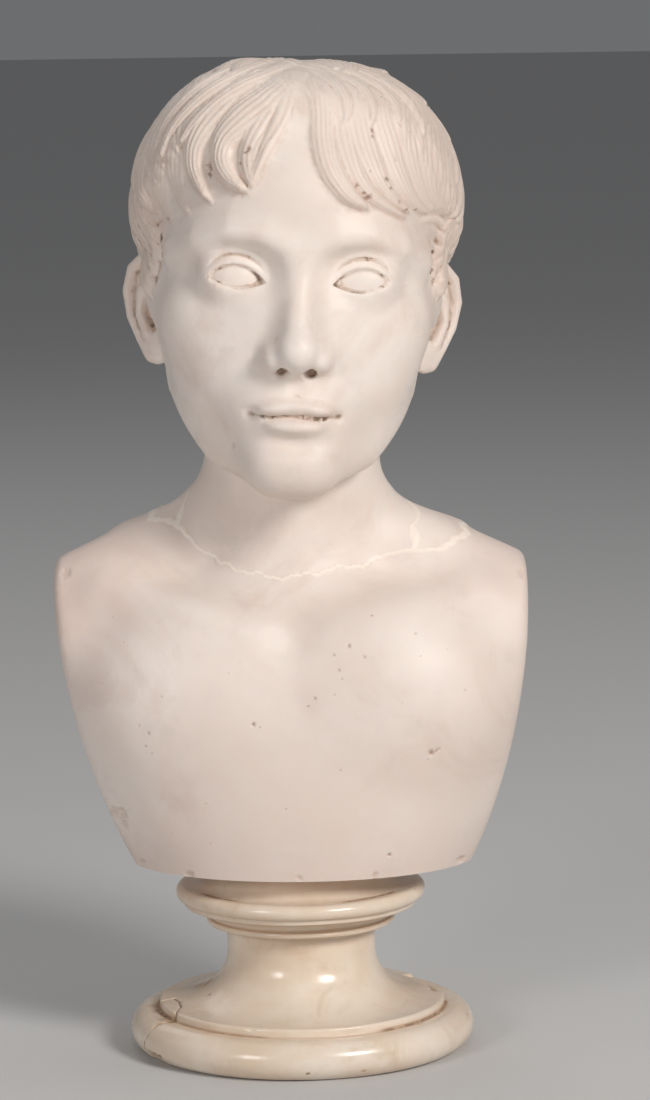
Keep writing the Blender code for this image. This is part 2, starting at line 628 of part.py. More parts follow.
def add_object(name, points, faces, material):
    mesh = bpy.data.meshes.new(name)
    mesh.from_pydata(points.tolist(), [], faces)
    mesh.shade_smooth()
    mesh.materials.append(material)
    obj = bpy.data.objects.new(name, mesh)
    bpy.context.scene.collection.objects.link(obj)
    return obj


def cut_flat(mesh):
    """Takes off what lies below z = 0 and closes the cut with one flat face."""
    shape = bmesh.new()
    shape.from_mesh(mesh)
    parts = shape.verts[:] + shape.edges[:] + shape.faces[:]
    bmesh.ops.bisect_plane(shape, geom=parts, dist=1e-6, plane_co=(0, 0, 0), plane_no=(0, 0, -1), clear_outer=True)
    rim = [edge for edge in shape.edges if edge.is_boundary]
    for edge in rim:
        edge.smooth = False
    bmesh.ops.edgeloop_fill(shape, edges=rim)
    bmesh.ops.recalc_face_normals(shape, faces=shape.faces[:])
    shape.to_mesh(mesh)
    shape.free()


def keep_carving(obj):
    """Lets the face, ears and hair keep more of their faces than the chest when the mesh is made simpler."""
    points = np.empty(len(obj.data.vertices) * 3)
    obj.data.vertices.foreach_get("co", points)
    q = mirrored(to_head(points.reshape(-1, 3) / POINT))
    face = ramp((22 - q[:, 2]) / 4) * ramp((q[:, 2] + 46) / 6) * ramp((-18 - q[:, 1]) / 6) * ramp((26 - q[:, 0]) / 4)
    ears = ramp(1 - (np.linalg.norm(q - np.array(EAR) - (4, 3, 0), axis=1) - 14) / 4)
    hair = np.where(q[:, 1] > -6, ramp((q[:, 2] + 24) / 8), ramp((q[:, 2] - 8) / 8))
    level = np.round(1 - 0.5 * np.maximum(np.maximum(face, 0.7 * ears), 0.6 * hair), 2)
    group = obj.vertex_groups.new(name="plain")
    for value in np.unique(level):
        group.add(np.flatnonzero(level == value).tolist(), float(value), "REPLACE")


def make_bust():
    locks = all_locks()
    points, faces = net(lambda p: bust(p, locks), (-142, -124, -14), (142, 136, 440), NET_CELL)
    obj = add_object("bust", points * POINT, faces.tolist(), marble("bust_marble", MARBLE, 0.45))
    keep_carving(obj)
    fewer = obj.modifiers.new("fewer_faces", "DECIMATE")
    fewer.vertex_group = "plain"
    fewer.vertex_group_factor = 1.6
    fewer.ratio = BUST_TRIANGLES / (2 * len(obj.data.polygons))
    graph = bpy.context.evaluated_depsgraph_get()
    mesh = bpy.data.meshes.new_from_object(obj.evaluated_get(graph))
    obj.modifiers.clear()
    cut_flat(mesh)
    obj.data = mesh
    obj.location.z = SOCLE_HEIGHT + SEAT_GAP
    return obj


def arc(centre, radii, start, end, count):
    """Points of an elliptical arc in the socle's profile, as radius and height."""
    angles = np.radians(np.linspace(start, end, count))
    return [(centre[0] + radii[0] * math.cos(a), centre[1] + radii[1] * math.sin(a)) for a in angles]


def socle_profile():
    """Radius and height, from the rim of the underside to the rim of the seat."""
    z = 0.0
    half = FOOT_HEIGHT / 2
    line = arc((FOOT_RADIUS - half, half), (half, half), -90, 78, 5)
    z += FOOT_HEIGHT
    line += [(LEDGE_RADIUS, z - 0.0004), (LEDGE_RADIUS, z + LEDGE_HEIGHT - 0.0012)]
    z += LEDGE_HEIGHT
    lip = LEDGE_RADIUS - 0.0025
    line += arc((lip, z + HOLLOW_HEIGHT), (lip - NECK_RADIUS, HOLLOW_HEIGHT), -90, -180, 5)
    z += HOLLOW_HEIGHT + NECK_HEIGHT
    cove = NECK_HEIGHT * 0.2
    line += arc((LOWER_FILLET_RADIUS, z - cove), (LOWER_FILLET_RADIUS - NECK_RADIUS, cove), 180, 100, 3)
    line += [(LOWER_FILLET_RADIUS, z + 0.0006), (LOWER_FILLET_RADIUS, z + LOWER_FILLET_HEIGHT - 0.0006)]
    z += LOWER_FILLET_HEIGHT
    inner = LOWER_FILLET_RADIUS - 0.0012
    rise = 0.7 * UPPER_FILLET_HEIGHT
    line += arc((UPPER_FILLET_RADIUS - 0.0004, z), (UPPER_FILLET_RADIUS - 0.0004 - inner, rise), 180, 90, 4)
    line += [(UPPER_FILLET_RADIUS, z + rise + 0.0004)]
    z += UPPER_FILLET_HEIGHT
    line += [(UPPER_FILLET_RADIUS, z - 0.0004)]
    half = RIM_HEIGHT / 2
    line += arc((RIM_RADIUS - half, z + half), (half, half), -65, 90, 5)
    z += RIM_HEIGHT
    lip = RIM_RADIUS - half - 0.004
    line += arc((lip, z + SEAT_HEIGHT - 0.001), (lip - SEAT_RADIUS, SEAT_HEIGHT - 0.001), -90, -180, 3)
    return line + [(SEAT_RADIUS, z + SEAT_HEIGHT)]


def worn(angle, radius, height):
    """The profile's radius at an angle from the front, with the ledge's broken edge and the foot's notch."""
    ledge = FOOT_HEIGHT - 0.001 < height < FOOT_HEIGHT + LEDGE_HEIGHT + 0.001 and radius > 0.9 * LEDGE_RADIUS
    if ledge and 94 < angle < 127:
        return radius - 0.0065
    if height < 0.3 * FOOT_HEIGHT and -66 < angle < -54:
        return radius - 0.0030
    return radius


def make_socle():
    profile = socle_profile()
    points = []
    for k in range(SOCLE_SIDES):
        angle = 360 * k / SOCLE_SIDES - 180
        a = math.radians(angle - 90)
        for radius, height in profile:
            r = worn(angle, radius, height)
            points.append((r * math.cos(a), r * math.sin(a), height))
    n = len(profile)
    faces = []
    for k in range(SOCLE_SIDES):
        here = k * n
        there = ((k + 1) % SOCLE_SIDES) * n
        for i in range(n - 1):
            faces.append((here + i, there + i, there + i + 1, here + i + 1))
    points += [(0, 0, 0), (0, 0, SOCLE_HEIGHT)]
    for k in range(SOCLE_SIDES):
        here = k * n
        there = ((k + 1) % SOCLE_SIDES) * n
        faces.append((len(points) - 2, there, here))
        faces.append((len(points) - 1, here + n - 1, there + n - 1))
    return add_object("socle", np.array(points), faces, marble("socle_marble", YELLOW_MARBLE, 0.3))


def main():
    clear_scene()
    make_socle()
    make_bust()


main()
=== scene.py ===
"""Looks of the marble bust: finely carved bust and socle, marble stained with age, soft studio light."""

import math

import bmesh
import bpy
import numpy as np
from mathutils import Matrix, Vector


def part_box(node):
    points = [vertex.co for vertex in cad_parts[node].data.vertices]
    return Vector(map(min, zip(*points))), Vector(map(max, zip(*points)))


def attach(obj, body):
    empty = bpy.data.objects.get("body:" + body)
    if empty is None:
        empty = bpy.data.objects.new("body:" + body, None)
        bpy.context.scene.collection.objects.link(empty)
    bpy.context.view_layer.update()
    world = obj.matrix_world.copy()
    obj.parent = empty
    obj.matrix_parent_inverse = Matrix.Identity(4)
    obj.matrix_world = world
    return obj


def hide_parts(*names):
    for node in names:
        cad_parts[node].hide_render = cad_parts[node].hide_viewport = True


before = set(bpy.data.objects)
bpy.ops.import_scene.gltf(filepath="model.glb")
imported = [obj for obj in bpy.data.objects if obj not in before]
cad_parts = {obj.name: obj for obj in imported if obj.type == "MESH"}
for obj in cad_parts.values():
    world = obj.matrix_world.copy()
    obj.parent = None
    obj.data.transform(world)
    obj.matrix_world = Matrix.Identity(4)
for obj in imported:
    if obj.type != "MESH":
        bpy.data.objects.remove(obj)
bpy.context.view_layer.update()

# The bust stands where its solid stands and is as tall.
BUST_LOW, BUST_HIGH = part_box("bust")
BUST_HEIGHT = 0.4285
SEAT_RADIUS = 0.0480

# The bust is drawn in points, 428 to its height, from the centre of its underside.
BUST_POINTS = 428.0
POINT = BUST_HEIGHT / BUST_POINTS
PIER_RADIUS = (SEAT_RADIUS - 0.003) / POINT

# Chest, in points
SHOULDER_LEVEL = 158.0
SHOULDER_HALF = 126.0
BASE_HALF = 92.5
OFFSET = 2.2
LEAN = -5.0
NECK_HALF = 46.5

# Head: 100 units to its height, from the middle of the eye line
HEAD_POINTS = 224.0
UNIT = HEAD_POINTS / 100
HEAD_CENTRE = np.array((2.0, 4.0, BUST_POINTS - HEAD_POINTS / 2 - 1.3))
HEAD_LEAN = math.radians(3.0)
HEAD_TURN = math.radians(2.0)
HEAD_NOD = math.radians(-1.0)

# Face, in head units
EYE = (14.4, -27.0, 0.0)
EYE_RADII = np.array((8.2, 6.3, 6.6))
LID = 0.85
EAR = (32.2, 4.0, -9.6)
EAR_SIZE = 0.93
EAR_FLARE = math.radians(44)
EAR_SLANT = math.radians(8)

# Hair, in head units and degrees
LOCK_HALF_WIDTH = 4.4
LOCK_HEIGHT = 1.05
LOCK_PITCH = 7.8
ROW_STEP = 15.0


# Distance helpers: each gives how far points lie outside a form, below zero inside it


def smooth_min(a, b, k):
    h = np.clip(0.5 + 0.5 * (b - a) / k, 0, 1)
    return b * (1 - h) + a * h - k * h * (1 - h)


def smooth_max(a, b, k):
    return -smooth_min(-a, -b, k)


def ramp(x):
    x = np.clip(x, 0, 1)
    return x * x * (3 - 2 * x)


def ellipsoid(p, centre, radii):
    q = (p - np.array(centre)) / np.array(radii)
    near = np.linalg.norm(q, axis=1)
    return near * (near - 1) / (np.linalg.norm(q / np.array(radii), axis=1) + 1e-9)


def tilted(p, centre, radii, axis, degrees):
    """An ellipsoid turned about one of the axes through its centre."""
    i, j = {"x": (1, 2), "y": (2, 0), "z": (0, 1)}[axis]
    c = math.cos(math.radians(degrees))
    s = math.sin(math.radians(degrees))
    q = p - np.array(centre)
    r = q.copy()
    r[:, i] = c * q[:, i] + s * q[:, j]
    r[:, j] = -s * q[:, i] + c * q[:, j]
    return ellipsoid(r, (0, 0, 0), radii)


def tube(p, *stations):
    """A tapered tube through stations of x, y, z and radius."""
    best = None
    for a, b in zip(stations, stations[1:]):
        start = np.array(a[:3])
        along = np.array(b[:3]) - start
        t = np.clip((p - start) @ along / (along @ along), 0, 1)
        d = np.linalg.norm(p - start - t[:, None] * along, axis=1) - (a[3] + t * (b[3] - a[3]))
        best = d if best is None else np.minimum(best, d)
    return best


def mirrored(q):
    """The places with left folded onto right, rounded at the middle so that no crease shows there."""
    m = q.copy()
    m[:, 0] = np.sqrt(m[:, 0] ** 2 + 0.3)
    return m


def turned(lean, turn, nod):
    """The rotation of something that leans to its side, turns on its neck and nods."""
    c = math.cos(lean)
    s = math.sin(lean)
    about_y = np.array(((c, 0, s), (0, 1, 0), (-s, 0, c)))
    c = math.cos(turn)
    s = math.sin(turn)
    about_z = np.array(((c, -s, 0), (s, c, 0), (0, 0, 1)))
    c = math.cos(nod)
    s = math.sin(nod)
    about_x = np.array(((1, 0, 0), (0, c, -s), (0, s, c)))
    return about_y @ about_z @ about_x


HEAD_AXES = turned(HEAD_LEAN, HEAD_TURN, HEAD_NOD)


def to_head(p):
    return (p - HEAD_CENTRE) @ HEAD_AXES / UNIT


def from_head(q):
    return (q * UNIT) @ HEAD_AXES.T + HEAD_CENTRE


# Head


def skull(m):
    d = ellipsoid(m, (0, 8.5, 13), (34.5, 40, 33.5))
    d = smooth_min(d, ellipsoid(m, (12, 8, 21), (20, 31, 24)), 8)
    return smooth_min(d, ellipsoid(m, (0, -8, 17), (29.5, 29.5, 25)), 8)


def face_mass(m):
    d = ellipsoid(m, (0, -9.5, -8), (28.5, 27, 30))
    d = smooth_min(d, ellipsoid(m, (0, -12, -25), (22, 22, 22)), 8)
    d = smooth_min(d, ellipsoid(m, (14.5, -15.5, -20), (12.5, 13, 15)), 9)
    jaw = tube(m, (27, 4, -6, 5.5), (22.5, -2, -26, 6.5), (14, -18, -38, 7), (4, -29, -42.5, 7))
    d = smooth_min(d, jaw, 7)
    d = smooth_min(d, tube(m, (22.5, -17.5, -9, 6.3), (28, 0, -5, 4.5)), 12)
    d = smooth_min(d, ellipsoid(m, (0, -26.5, -29), (14.5, 11, 11.5)), 6)
    return smooth_min(d, ellipsoid(m, (0, -30.8, -42), (8.8, 7.6, 7.6)), 6)


def brow(m, d):
    ridge = tube(m, (3.5, -34.3, 6.6, 1.6), (9, -34.6, 8.8, 1.8), (16, -32.3, 9.6, 1.9),
                 (23, -26.8, 7.8, 2.0), (28.5, -17.5, 4.5, 1.8))
    d = smooth_min(d, ridge, 7)
    return smooth_max(d, -tilted(m, (14.2, -37.6, 1.8), (9.6, 6.0, 5.4), "z", 12), 5)


def in_front(m):
    """One on the face, falling to nothing behind it."""
    return ramp((-24 - m[:, 1]) / 4)


def lid_edge(x, rise, skew):
    """Height of a lid's edge from the eye's inner to its outer corner, crossing the other's beyond them."""
    s = (x - 7.6) / 13.6
    lean = skew * np.sin(2 * np.pi * np.clip(s, 0, 1))
    return -1.0 + 0.9 * s + rise * np.sin(np.pi * np.clip(s, -0.08, 1.08) + lean)


def eyes(m, d):
    ball = ellipsoid(m, EYE, EYE_RADII)
    lids = ellipsoid(m, EYE, EYE_RADII + LID)
    above = m[:, 2] - lid_edge(m[:, 0], 3.4, 0.12)
    below = lid_edge(m[:, 0], -2.1, 0.0) - m[:, 2]
    opening = smooth_max(above, below, 0.4)
    d = smooth_min(d, smooth_max(lids, -opening, 0.5), 2.8)
    fold = ramp(1 - np.abs(above - 2.3) / 0.9) * ramp((m[:, 0] - 7.5) / 3) * ramp((22 - m[:, 0]) / 3)
    d = d + 0.45 * fold * in_front(m)
    front = ellipsoid(m, (14.4, -33, 0), (9, 4.6, 5))
    d = smooth_max(d, -np.maximum(opening, front), 0.5)
    return np.minimum(d, ball)


def nose(m, d):
    bridge = tube(m, (0, -33.2, 7, 3.0), (0, -35.4, 0, 2.7), (0, -38.6, -8.5, 3.0), (0, -41.4, -15, 3.4))
    side = tube(m, (0, -31, 3, 4.0), (0, -33.6, -8, 5.2), (0, -35.6, -16, 6.0))
    d_nose = smooth_min(bridge, side, 3)
    d_nose = smooth_min(d_nose, ellipsoid(m, (0, -41.8, -16.4), (3.9, 3.8, 3.7)), 3.4)
    d_nose = smooth_min(d_nose, tilted(m, (5.4, -37.3, -17.8), (2.8, 4.5, 3.1), "x", 12), 2.4)
    d_nose = smooth_min(d_nose, tube(m, (0, -41.0, -19.0, 1.7), (0, -35.6, -20.6, 2.0)), 1.6)
    d = smooth_min(d, d_nose, 3.4)
    return smooth_max(d, -tilted(m, (3.2, -38.8, -20.8), (1.4, 2.6, 1.8), "z", -14), 0.8)


def mouth(m, d):
    upper = tilted(m, (3.6, -34.6, -29.6), (5.6, 2.9, 1.9), "y", 9)
    upper = smooth_min(upper, ellipsoid(m, (0, -34.9, -29.6), (3, 2.9, 1.8)), 1.5)
    lower = ellipsoid(m, (0, -34.2, -33.4), (7.4, 3.6, 2.5))
    d = smooth_min(d, smooth_min(upper, lower, 0.8), 2.6)
    x = m[:, 0]
    z = m[:, 2]
    part = 1.5 * ramp((10.4 - x) / 4.5) * ramp(1 - np.abs(z + 31.4 - 0.05 * x) / 1.2)
    corner = 0.8 * np.exp(-((x - 9.9)**2 + (z + 31)**2) / 2.2)
    hollow = 0.45 * ramp(1.3 - x / 2.2) * ramp((z + 28.4) / 2) * ramp((-21.8 - z) / 2)
    under = 1.1 * np.exp(-(x / 6.5)**2 - ((z + 38) / 2.1)**2)
    return d + (part + corner + hollow + under) * in_front(m)


def head(q):
    m = mirrored(q)
    d = smooth_min(skull(m), face_mass(m), 6)
    d = brow(m, d)
    d = nose(m, d)
    d = mouth(m, d)
    return eyes(m, d)


def ear(m):
    q = m - np.array(EAR)
    tip = np.array(((1, 0, 0), (0, math.cos(EAR_SLANT), math.sin(EAR_SLANT)),
                    (0, -math.sin(EAR_SLANT), math.cos(EAR_SLANT))))
    q = q @ tip / EAR_SIZE
    across = math.sin(EAR_FLARE) * q[:, 0] + math.cos(EAR_FLARE) * q[:, 1]
    out = math.cos(EAR_FLARE) * q[:, 0] - math.sin(EAR_FLARE) * q[:, 1]
    e = np.stack((across, q[:, 2], out), axis=1)
    plate = ellipsoid(e, (2.6, 1.8, -0.6), (7.6, 12, 1.9))
    d = smooth_min(plate, ellipsoid(e, (-0.6, -10, -0.4), (4.4, 4.6, 2.0)), 3)
    d = smooth_min(d, ellipsoid(e, (0.2, -0.5, -3.2), (4.8, 7.5, 4.0)), 3)
    rim = tube(e, (-3.5, 0.5, 0.6, 1.0), (-4.6, 5.5, 0.9, 1.3), (-2.2, 11.2, 1.0, 1.6),
               (3.6, 13.3, 0.9, 1.7), (8.6, 10.2, 0.8, 1.6), (10.3, 4.6, 0.7, 1.5), (8.8, -2, 0.6, 1.3),
               (5.2, -8, 0.4, 1.2), (1.6, -12.2, 0, 1.6))
    d = smooth_min(d, rim, 0.9)
    trough = tube(e, (-1.5, 8.6, 1.9, 1.1), (3.5, 10.4, 2.0, 1.2), (7, 7.2, 2.0, 1.1), (7.6, 1.5, 1.9, 0.9),
                  (5.8, -4.5, 1.8, 0.8))
    d = smooth_max(d, -trough, 0.8)
    d = smooth_max(d, -ellipsoid(e, (0.6, -1.2, 2.2), (4.4, 5.6, 3.4)), 0.9)
    fold = tube(e, (2, 8.2, 0.5, 1.0), (5.2, 4.2, 0.9, 1.2), (5.4, -1.5, 0.9, 1.2), (2.6, -6.6, 0.7, 1.3))
    d = smooth_min(d, fold, 1)
    d = smooth_min(d, tube(e, (0, 4.3, 0.2, 0.8), (3.8, 5, 0.7, 1.0)), 0.9)
    return smooth_min(d, ellipsoid(e, (-4.2, -1.8, 0.9), (1.9, 2.6, 1.7)), 1) * EAR_SIZE


# Neck and chest


def half_width(z):
    return SHOULDER_HALF - (SHOULDER_HALF - BASE_HALF) * np.clip(1 - z / SHOULDER_LEVEL, 0, 1.5) ** 1.9


def chest_front(z):
    t = np.clip(z / 150, 0, 1.2)
    return 70 + 7 * np.sin(np.pi * np.clip(t, 0, 1)) - 20 * t**3


def chest_back(z):
    return 4 + 46 * ramp((z - 10) / 110)


def torso(p):
    z = p[:, 2]
    x = p[:, 0] - OFFSET - LEAN * np.clip(z / SHOULDER_LEVEL, 0, 1.2)
    wide = half_width(z) + 0.5 + 24 * np.clip(z / 120, 0, 1)
    y = p[:, 1] - 6
    deep = np.where(y < 0, chest_front(z), chest_back(z))
    ring = np.sqrt((x / wide) ** 2 + (y / deep) ** 2) + 1e-9
    d = (ring - 1) * np.sqrt(x * x + y * y) / ring
    d = smooth_max(d, z - 150, 40)
    m = np.stack((np.sqrt(x * x + 90), p[:, 1], z), axis=1)
    d = smooth_min(d, tube(m, (44, 14, 176, 23), (112, 10, 128, 38)), 16)
    d = smooth_min(d, tube(m, (20, 36, 222, 14), (43, 29, 176, 14), (82, 24, 165, 16)), 8)
    d = smooth_min(d, tilted(m, (50, -30, 96), (58, 38, 50), "y", 8), 20)
    d = smooth_min(d, tube(m, (12, -46, 119, 4.5), (52, -42.5, 131, 5), (98, -21, 145, 6)), 18)
    neck = tube(p, (OFFSET + LEAN, 20, 130, NECK_HALF + 8), (OFFSET + LEAN, 16, 178, NECK_HALF),
                (-1, 10, 215, NECK_HALF), (2, 8, 290, NECK_HALF + 1))
    d = smooth_min(d, neck, 20)
    d = smooth_min(d, tube(m, (8, 34, 160, 34), (9, 40, 215, 29), (10, 56, 285, 30)), 12)
    d = smooth_max(d, -ellipsoid(p, (OFFSET + LEAN, -67, 133), (9, 9, 9)), 14)
    d = smooth_max(d, np.abs(x) - half_width(z), 5)
    pier = np.maximum(np.hypot(p[:, 0], p[:, 1]) - PIER_RADIUS, z - 110)
    return smooth_min(d, pier, 14)


def body(p):
    """Chest, neck and head, before ears and hair."""
    return smooth_min(torso(p), head(to_head(p)) * UNIT, 9)


# Hair

# It is a mass over the skull, and locks that lie on it. A place on the scalp is given by its turn round the
# crown from the front and its fall from the crown, in degrees.
SCALP_CENTRE = np.array((0.0, 5.0, 10.0))
CROWN = np.array((-0.02, 0.45, 0.89)) / math.sqrt(0.02**2 + 0.45**2 + 0.89**2)
FORWARD = np.array((0.0, -1.0, 0.0)) + CROWN * CROWN[1]
FORWARD = FORWARD / np.linalg.norm(FORWARD)
ACROSS = np.cross(CROWN, FORWARD)

# Where the hair ends: turn, fall
HAIRLINE = (
    (0, 81), (20, 83), (42, 88), (56, 93), (68, 99), (76, 111), (84, 121), (90, 117), (95, 103),
    (110, 103), (124, 112), (140, 118), (160, 120), (180, 120),
)

# Locks seen from the front: height, grooves, then x, z and half width along the line
FRONT_LOCKS = (
    (2.0, 5, (-2, 46.5, 3.4), (-8, 41.5, 4.8), (-13.4, 36.8, 4.6), (-17.7, 31.8, 3.5),
     (-18.7, 27.7, 2.9), (-18, 24.3, 2.5), (-15.8, 21.6, 1.9), (-12.2, 19.8, 0.8)),
    (1.35, 3, (-3.6, 43.5, 1.8), (-8.2, 38.4, 2.6), (-11, 33, 3.0), (-12.4, 28, 2.7), (-12.2, 24, 2.0),
     (-11.5, 20.8, 0.7)),
    (1.45, 1, (-3.2, 44, 1.6), (-4.8, 39, 2.2), (-6.6, 33.8, 2.3), (-8.5, 29.3, 2.0),
     (-10.3, 24.8, 1.5), (-12.1, 20, 0.7)),
    (1.8, 5, (-10, 46.5, 3.4), (-17, 41, 4.1), (-22, 35.8, 4.0), (-24.7, 30.5, 3.3), (-25, 26, 2.8),
     (-23.8, 21.6, 2.1), (-20.6, 16.9, 0.7)),
    (1.9, 5, (3.4, 45, 3.0), (4.2, 38, 3.3), (4.4, 31.8, 3.4), (5.6, 26.8, 3.3), (7.9, 22.6, 2.9),
     (10.8, 19.3, 2.2), (15.2, 16.5, 0.6)),
    (1.35, 3, (7.4, 44.5, 2.6), (8.6, 37, 3.0), (9.6, 31, 3.1), (11.2, 26, 2.8), (13.6, 22, 2.3),
     (16.8, 18.9, 1.7), (20.3, 16.7, 1.2), (24.2, 14.4, 0.4)),
    (1.25, 4, (11.4, 43.5, 3.0), (12.8, 37, 3.6), (14.2, 31, 3.9), (16.3, 26, 3.3), (18.6, 21.8, 2.5),
     (21.2, 18.6, 1.7), (25, 15.8, 0.4)),
    (1.05, 4, (16.6, 43, 3.0), (18.2, 36.5, 3.4), (19.9, 31, 3.6), (21.8, 26, 3.3), (24, 21.4, 2.7),
     (26.4, 18, 1.9), (29.6, 15.6, 0.5)),
    (0.85, 4, (20.6, 41, 3.0), (22.8, 34.5, 3.4), (24.6, 28.5, 3.4), (26.4, 23.5, 3.1),
     (28.3, 19.4, 2.5), (31, 16, 0.9)),
    (0.75, 4, (25, 37.5, 2.8), (27, 31.5, 3.2), (28.8, 26, 3.2), (30.4, 21, 2.7), (32.4, 16, 1.1)),
    (0.65, 3, (28.8, 33.5, 2.6), (30.6, 28.5, 2.9), (32, 23, 2.8), (33.3, 18.5, 2.1), (34.4, 15.4, 1)),
    (0.7, 4, (-23.5, 39, 3.0), (-27.4, 34, 3.4), (-29, 29, 3.3), (-29.2, 23.5, 3.0), (-27.8, 18, 2.2),
     (-25.4, 13.6, 0.7)),
    (0.6, 4, (-28.5, 35, 2.6), (-31.4, 30, 3.1), (-32.4, 24, 2.9), (-32, 18, 2.5), (-30.4, 13, 1.8),
     (-28.6, 9.5, 0.6)),
    (2.0, 4, (-2, 49.4, 2.4), (-9, 46.2, 3.0), (-15, 42.6, 3.0), (-20.5, 38.2, 2.6), (-25, 33.5, 1.9),
     (-27.7, 29, 0.5)),
    (1.8, 4, (-6, 50, 2.4), (-13.5, 47, 3.0), (-20.5, 42.4, 3.0), (-26, 37.2, 2.6), (-30, 31.5, 1.9),
     (-32, 25.5, 0.5)),
    (1.5, 3, (-11, 50, 2.2), (-19, 46, 2.7), (-26, 40.4, 2.6), (-31, 34, 2.0), (-33.6, 27, 0.6)),
    (1.1, 3, (0.6, 48.6, 2), (4.8, 46.4, 2.4), (7.8, 43.6, 2.3), (9.4, 40.6, 1.9), (9.4, 37.4, 1.2),
     (8.4, 35, 0.4)),
    (1.05, 3, (3.8, 48.8, 2), (8.8, 46.8, 2.4), (12.8, 44.2, 2.3), (15, 41.3, 1.9), (15.6, 38, 1.2),
     (15, 35.6, 0.4)),
    (1.0, 3, (8.5, 48.6, 2), (14.4, 46.2, 2.4), (18.6, 43.2, 2.3), (21, 40, 1.9), (21.8, 36, 0.6)),
    (0.9, 3, (14, 47.4, 2), (20, 44.6, 2.4), (24.2, 41, 2.3), (26.6, 37.2, 1.8), (27.6, 33, 0.6)),
    (0.5, 1, (27.5, 13.4, 0.6), (30.4, 14.2, 0.9), (33, 13.4, 0.9), (34.2, 11.4, 0.5)),
    (0.5, 1, (29.4, 10.6, 0.6), (31.6, 11.4, 0.9), (33.4, 10, 0.9), (33.8, 7.8, 0.5)),
    (0.5, 1, (29.8, 7.4, 0.6), (31.6, 8, 0.9), (32.6, 6, 0.9), (32.4, 3.6, 0.5)),
    (0.5, 1, (30, 4, 0.6), (31.6, 3.6, 0.8), (32, 1.4, 0.8), (31.2, -1, 0.4)),
    (0.5, 1, (-28.6, 12, 0.6), (-30.8, 11.4, 0.9), (-32.2, 9, 0.9), (-32, 6, 0.5)),
    (0.5, 1, (-29.8, 7.8, 0.6), (-31.2, 6.2, 0.9), (-31.8, 3.6, 0.8), (-31, 1, 0.4)),
)


def hair_edge(turn):
    table = np.array(HAIRLINE, float)
    return np.interp(np.abs(turn), table[:, 0], table[:, 1])


def hair_mass(q):
    """Thickness of the hair under its locks."""
    v = q - SCALP_CENTRE
    v = v / (np.linalg.norm(v, axis=1, keepdims=True) + 1e-9)
    turn = np.degrees(np.arctan2(v @ ACROSS, v @ FORWARD))
    fall = np.degrees(np.arccos(np.clip(v @ CROWN, -1, 1)))
    around = np.abs(turn)
    depth = 2.5 + 1.2 * ramp((fall - 25) / 55) - 1.8 * ramp((around - 120) / 60) * ramp((fall - 80) / 30)
    depth = depth - 2.3 * ramp((fall - 88) / 16) * ramp((116 - around) / 20) * ramp((around - 50) / 15)
    front = ramp((74 - around) / 26)
    return depth * ramp((hair_edge(turn) + 1 + 5 * front - fall) / (7 + 11 * front))


def capped(q):
    return body(from_head(q)) / UNIT - hair_mass(q)


def on_scalp(turn, fall):
    """The place on the hair's mass this far round and down from the crown."""
    turn = np.radians(turn)
    fall = np.radians(fall)
    level = np.cos(turn)[:, None] * FORWARD + np.sin(turn)[:, None] * ACROSS
    way = np.cos(fall)[:, None] * CROWN + np.sin(fall)[:, None] * level
    low = np.full(len(turn), 20.0)
    high = np.full(len(turn), 62.0)
    for _ in range(16):
        mid = (low + high) / 2
        inside = capped(SCALP_CENTRE + way * mid[:, None]) < 0
        low = np.where(inside, mid, low)
        high = np.where(inside, high, mid)
    return SCALP_CENTRE + way * low[:, None]


def on_front(x, z):
    """The place on the hair's mass straight behind one in the front view."""
    front = np.full(len(x), -60.0)
    back = np.full(len(x), 5.0)
    for _ in range(16):
        mid = (front + back) / 2
        inside = capped(np.stack((x, mid, z), axis=1)) < 0
        front = np.where(inside, front, mid)
        back = np.where(inside, mid, back)
    return np.stack((x, back, z), axis=1)


def curve_through(points, count):
    points = np.array(points, float)
    t = np.linspace(0, len(points) - 1, count)
    i = np.clip(t.astype(int), 0, len(points) - 2)
    f = (t - i)[:, None]
    before = points[np.maximum(i - 1, 0)]
    a = points[i]
    b = points[i + 1]
    after = points[np.minimum(i + 2, len(points) - 1)]
    bend = (2 * before - 5 * a + 4 * b - after) * f**2 + (3 * a - before - 3 * b + after) * f**3
    return a + 0.5 * ((b - before) * f + bend)


def scalp_locks():
    """Rows of locks combed out from the crown, each as its turns, falls, half width and height."""
    dice = np.random.default_rng(5)
    rows = []
    fall = 9.0
    while fall < 112:
        count = round(2 * math.pi * math.sin(math.radians(fall)) * 38 / LOCK_PITCH)
        for k in range(count):
            turn = (360 * (k + 0.5 * (len(rows) % 2) + dice.uniform(-0.2, 0.2)) / count) % 360 - 180
            side = 1 if turn >= 0 else -1
            tip = min(fall + dice.uniform(24, 31), float(hair_edge(turn)) + 2)
            size = dice.uniform(0.85, 1.1)
            curl = dice.uniform(0.4, 1.1)
            if tip - fall < 8 or (abs(turn) < 66 and tip > 56):
                continue
            bend = 7 if 45 < abs(turn) < 125 else 4
            sweep = -side * curl * bend / max(math.sin(math.radians(fall + 8)), 0.3)
            s = np.linspace(0, 1, 11)
            turns = turn + sweep * (s**2 - 0.35 * np.sin(np.pi * s))
            falls = fall - 4 + (tip - fall + 4) * s
            low = 0.6 if 60 < abs(turn) < 100 and tip > 98 else 1.0
            rows.append((turns, falls, LOCK_HALF_WIDTH * size * low, LOCK_HEIGHT * size * low))
        fall += ROW_STEP
    return rows


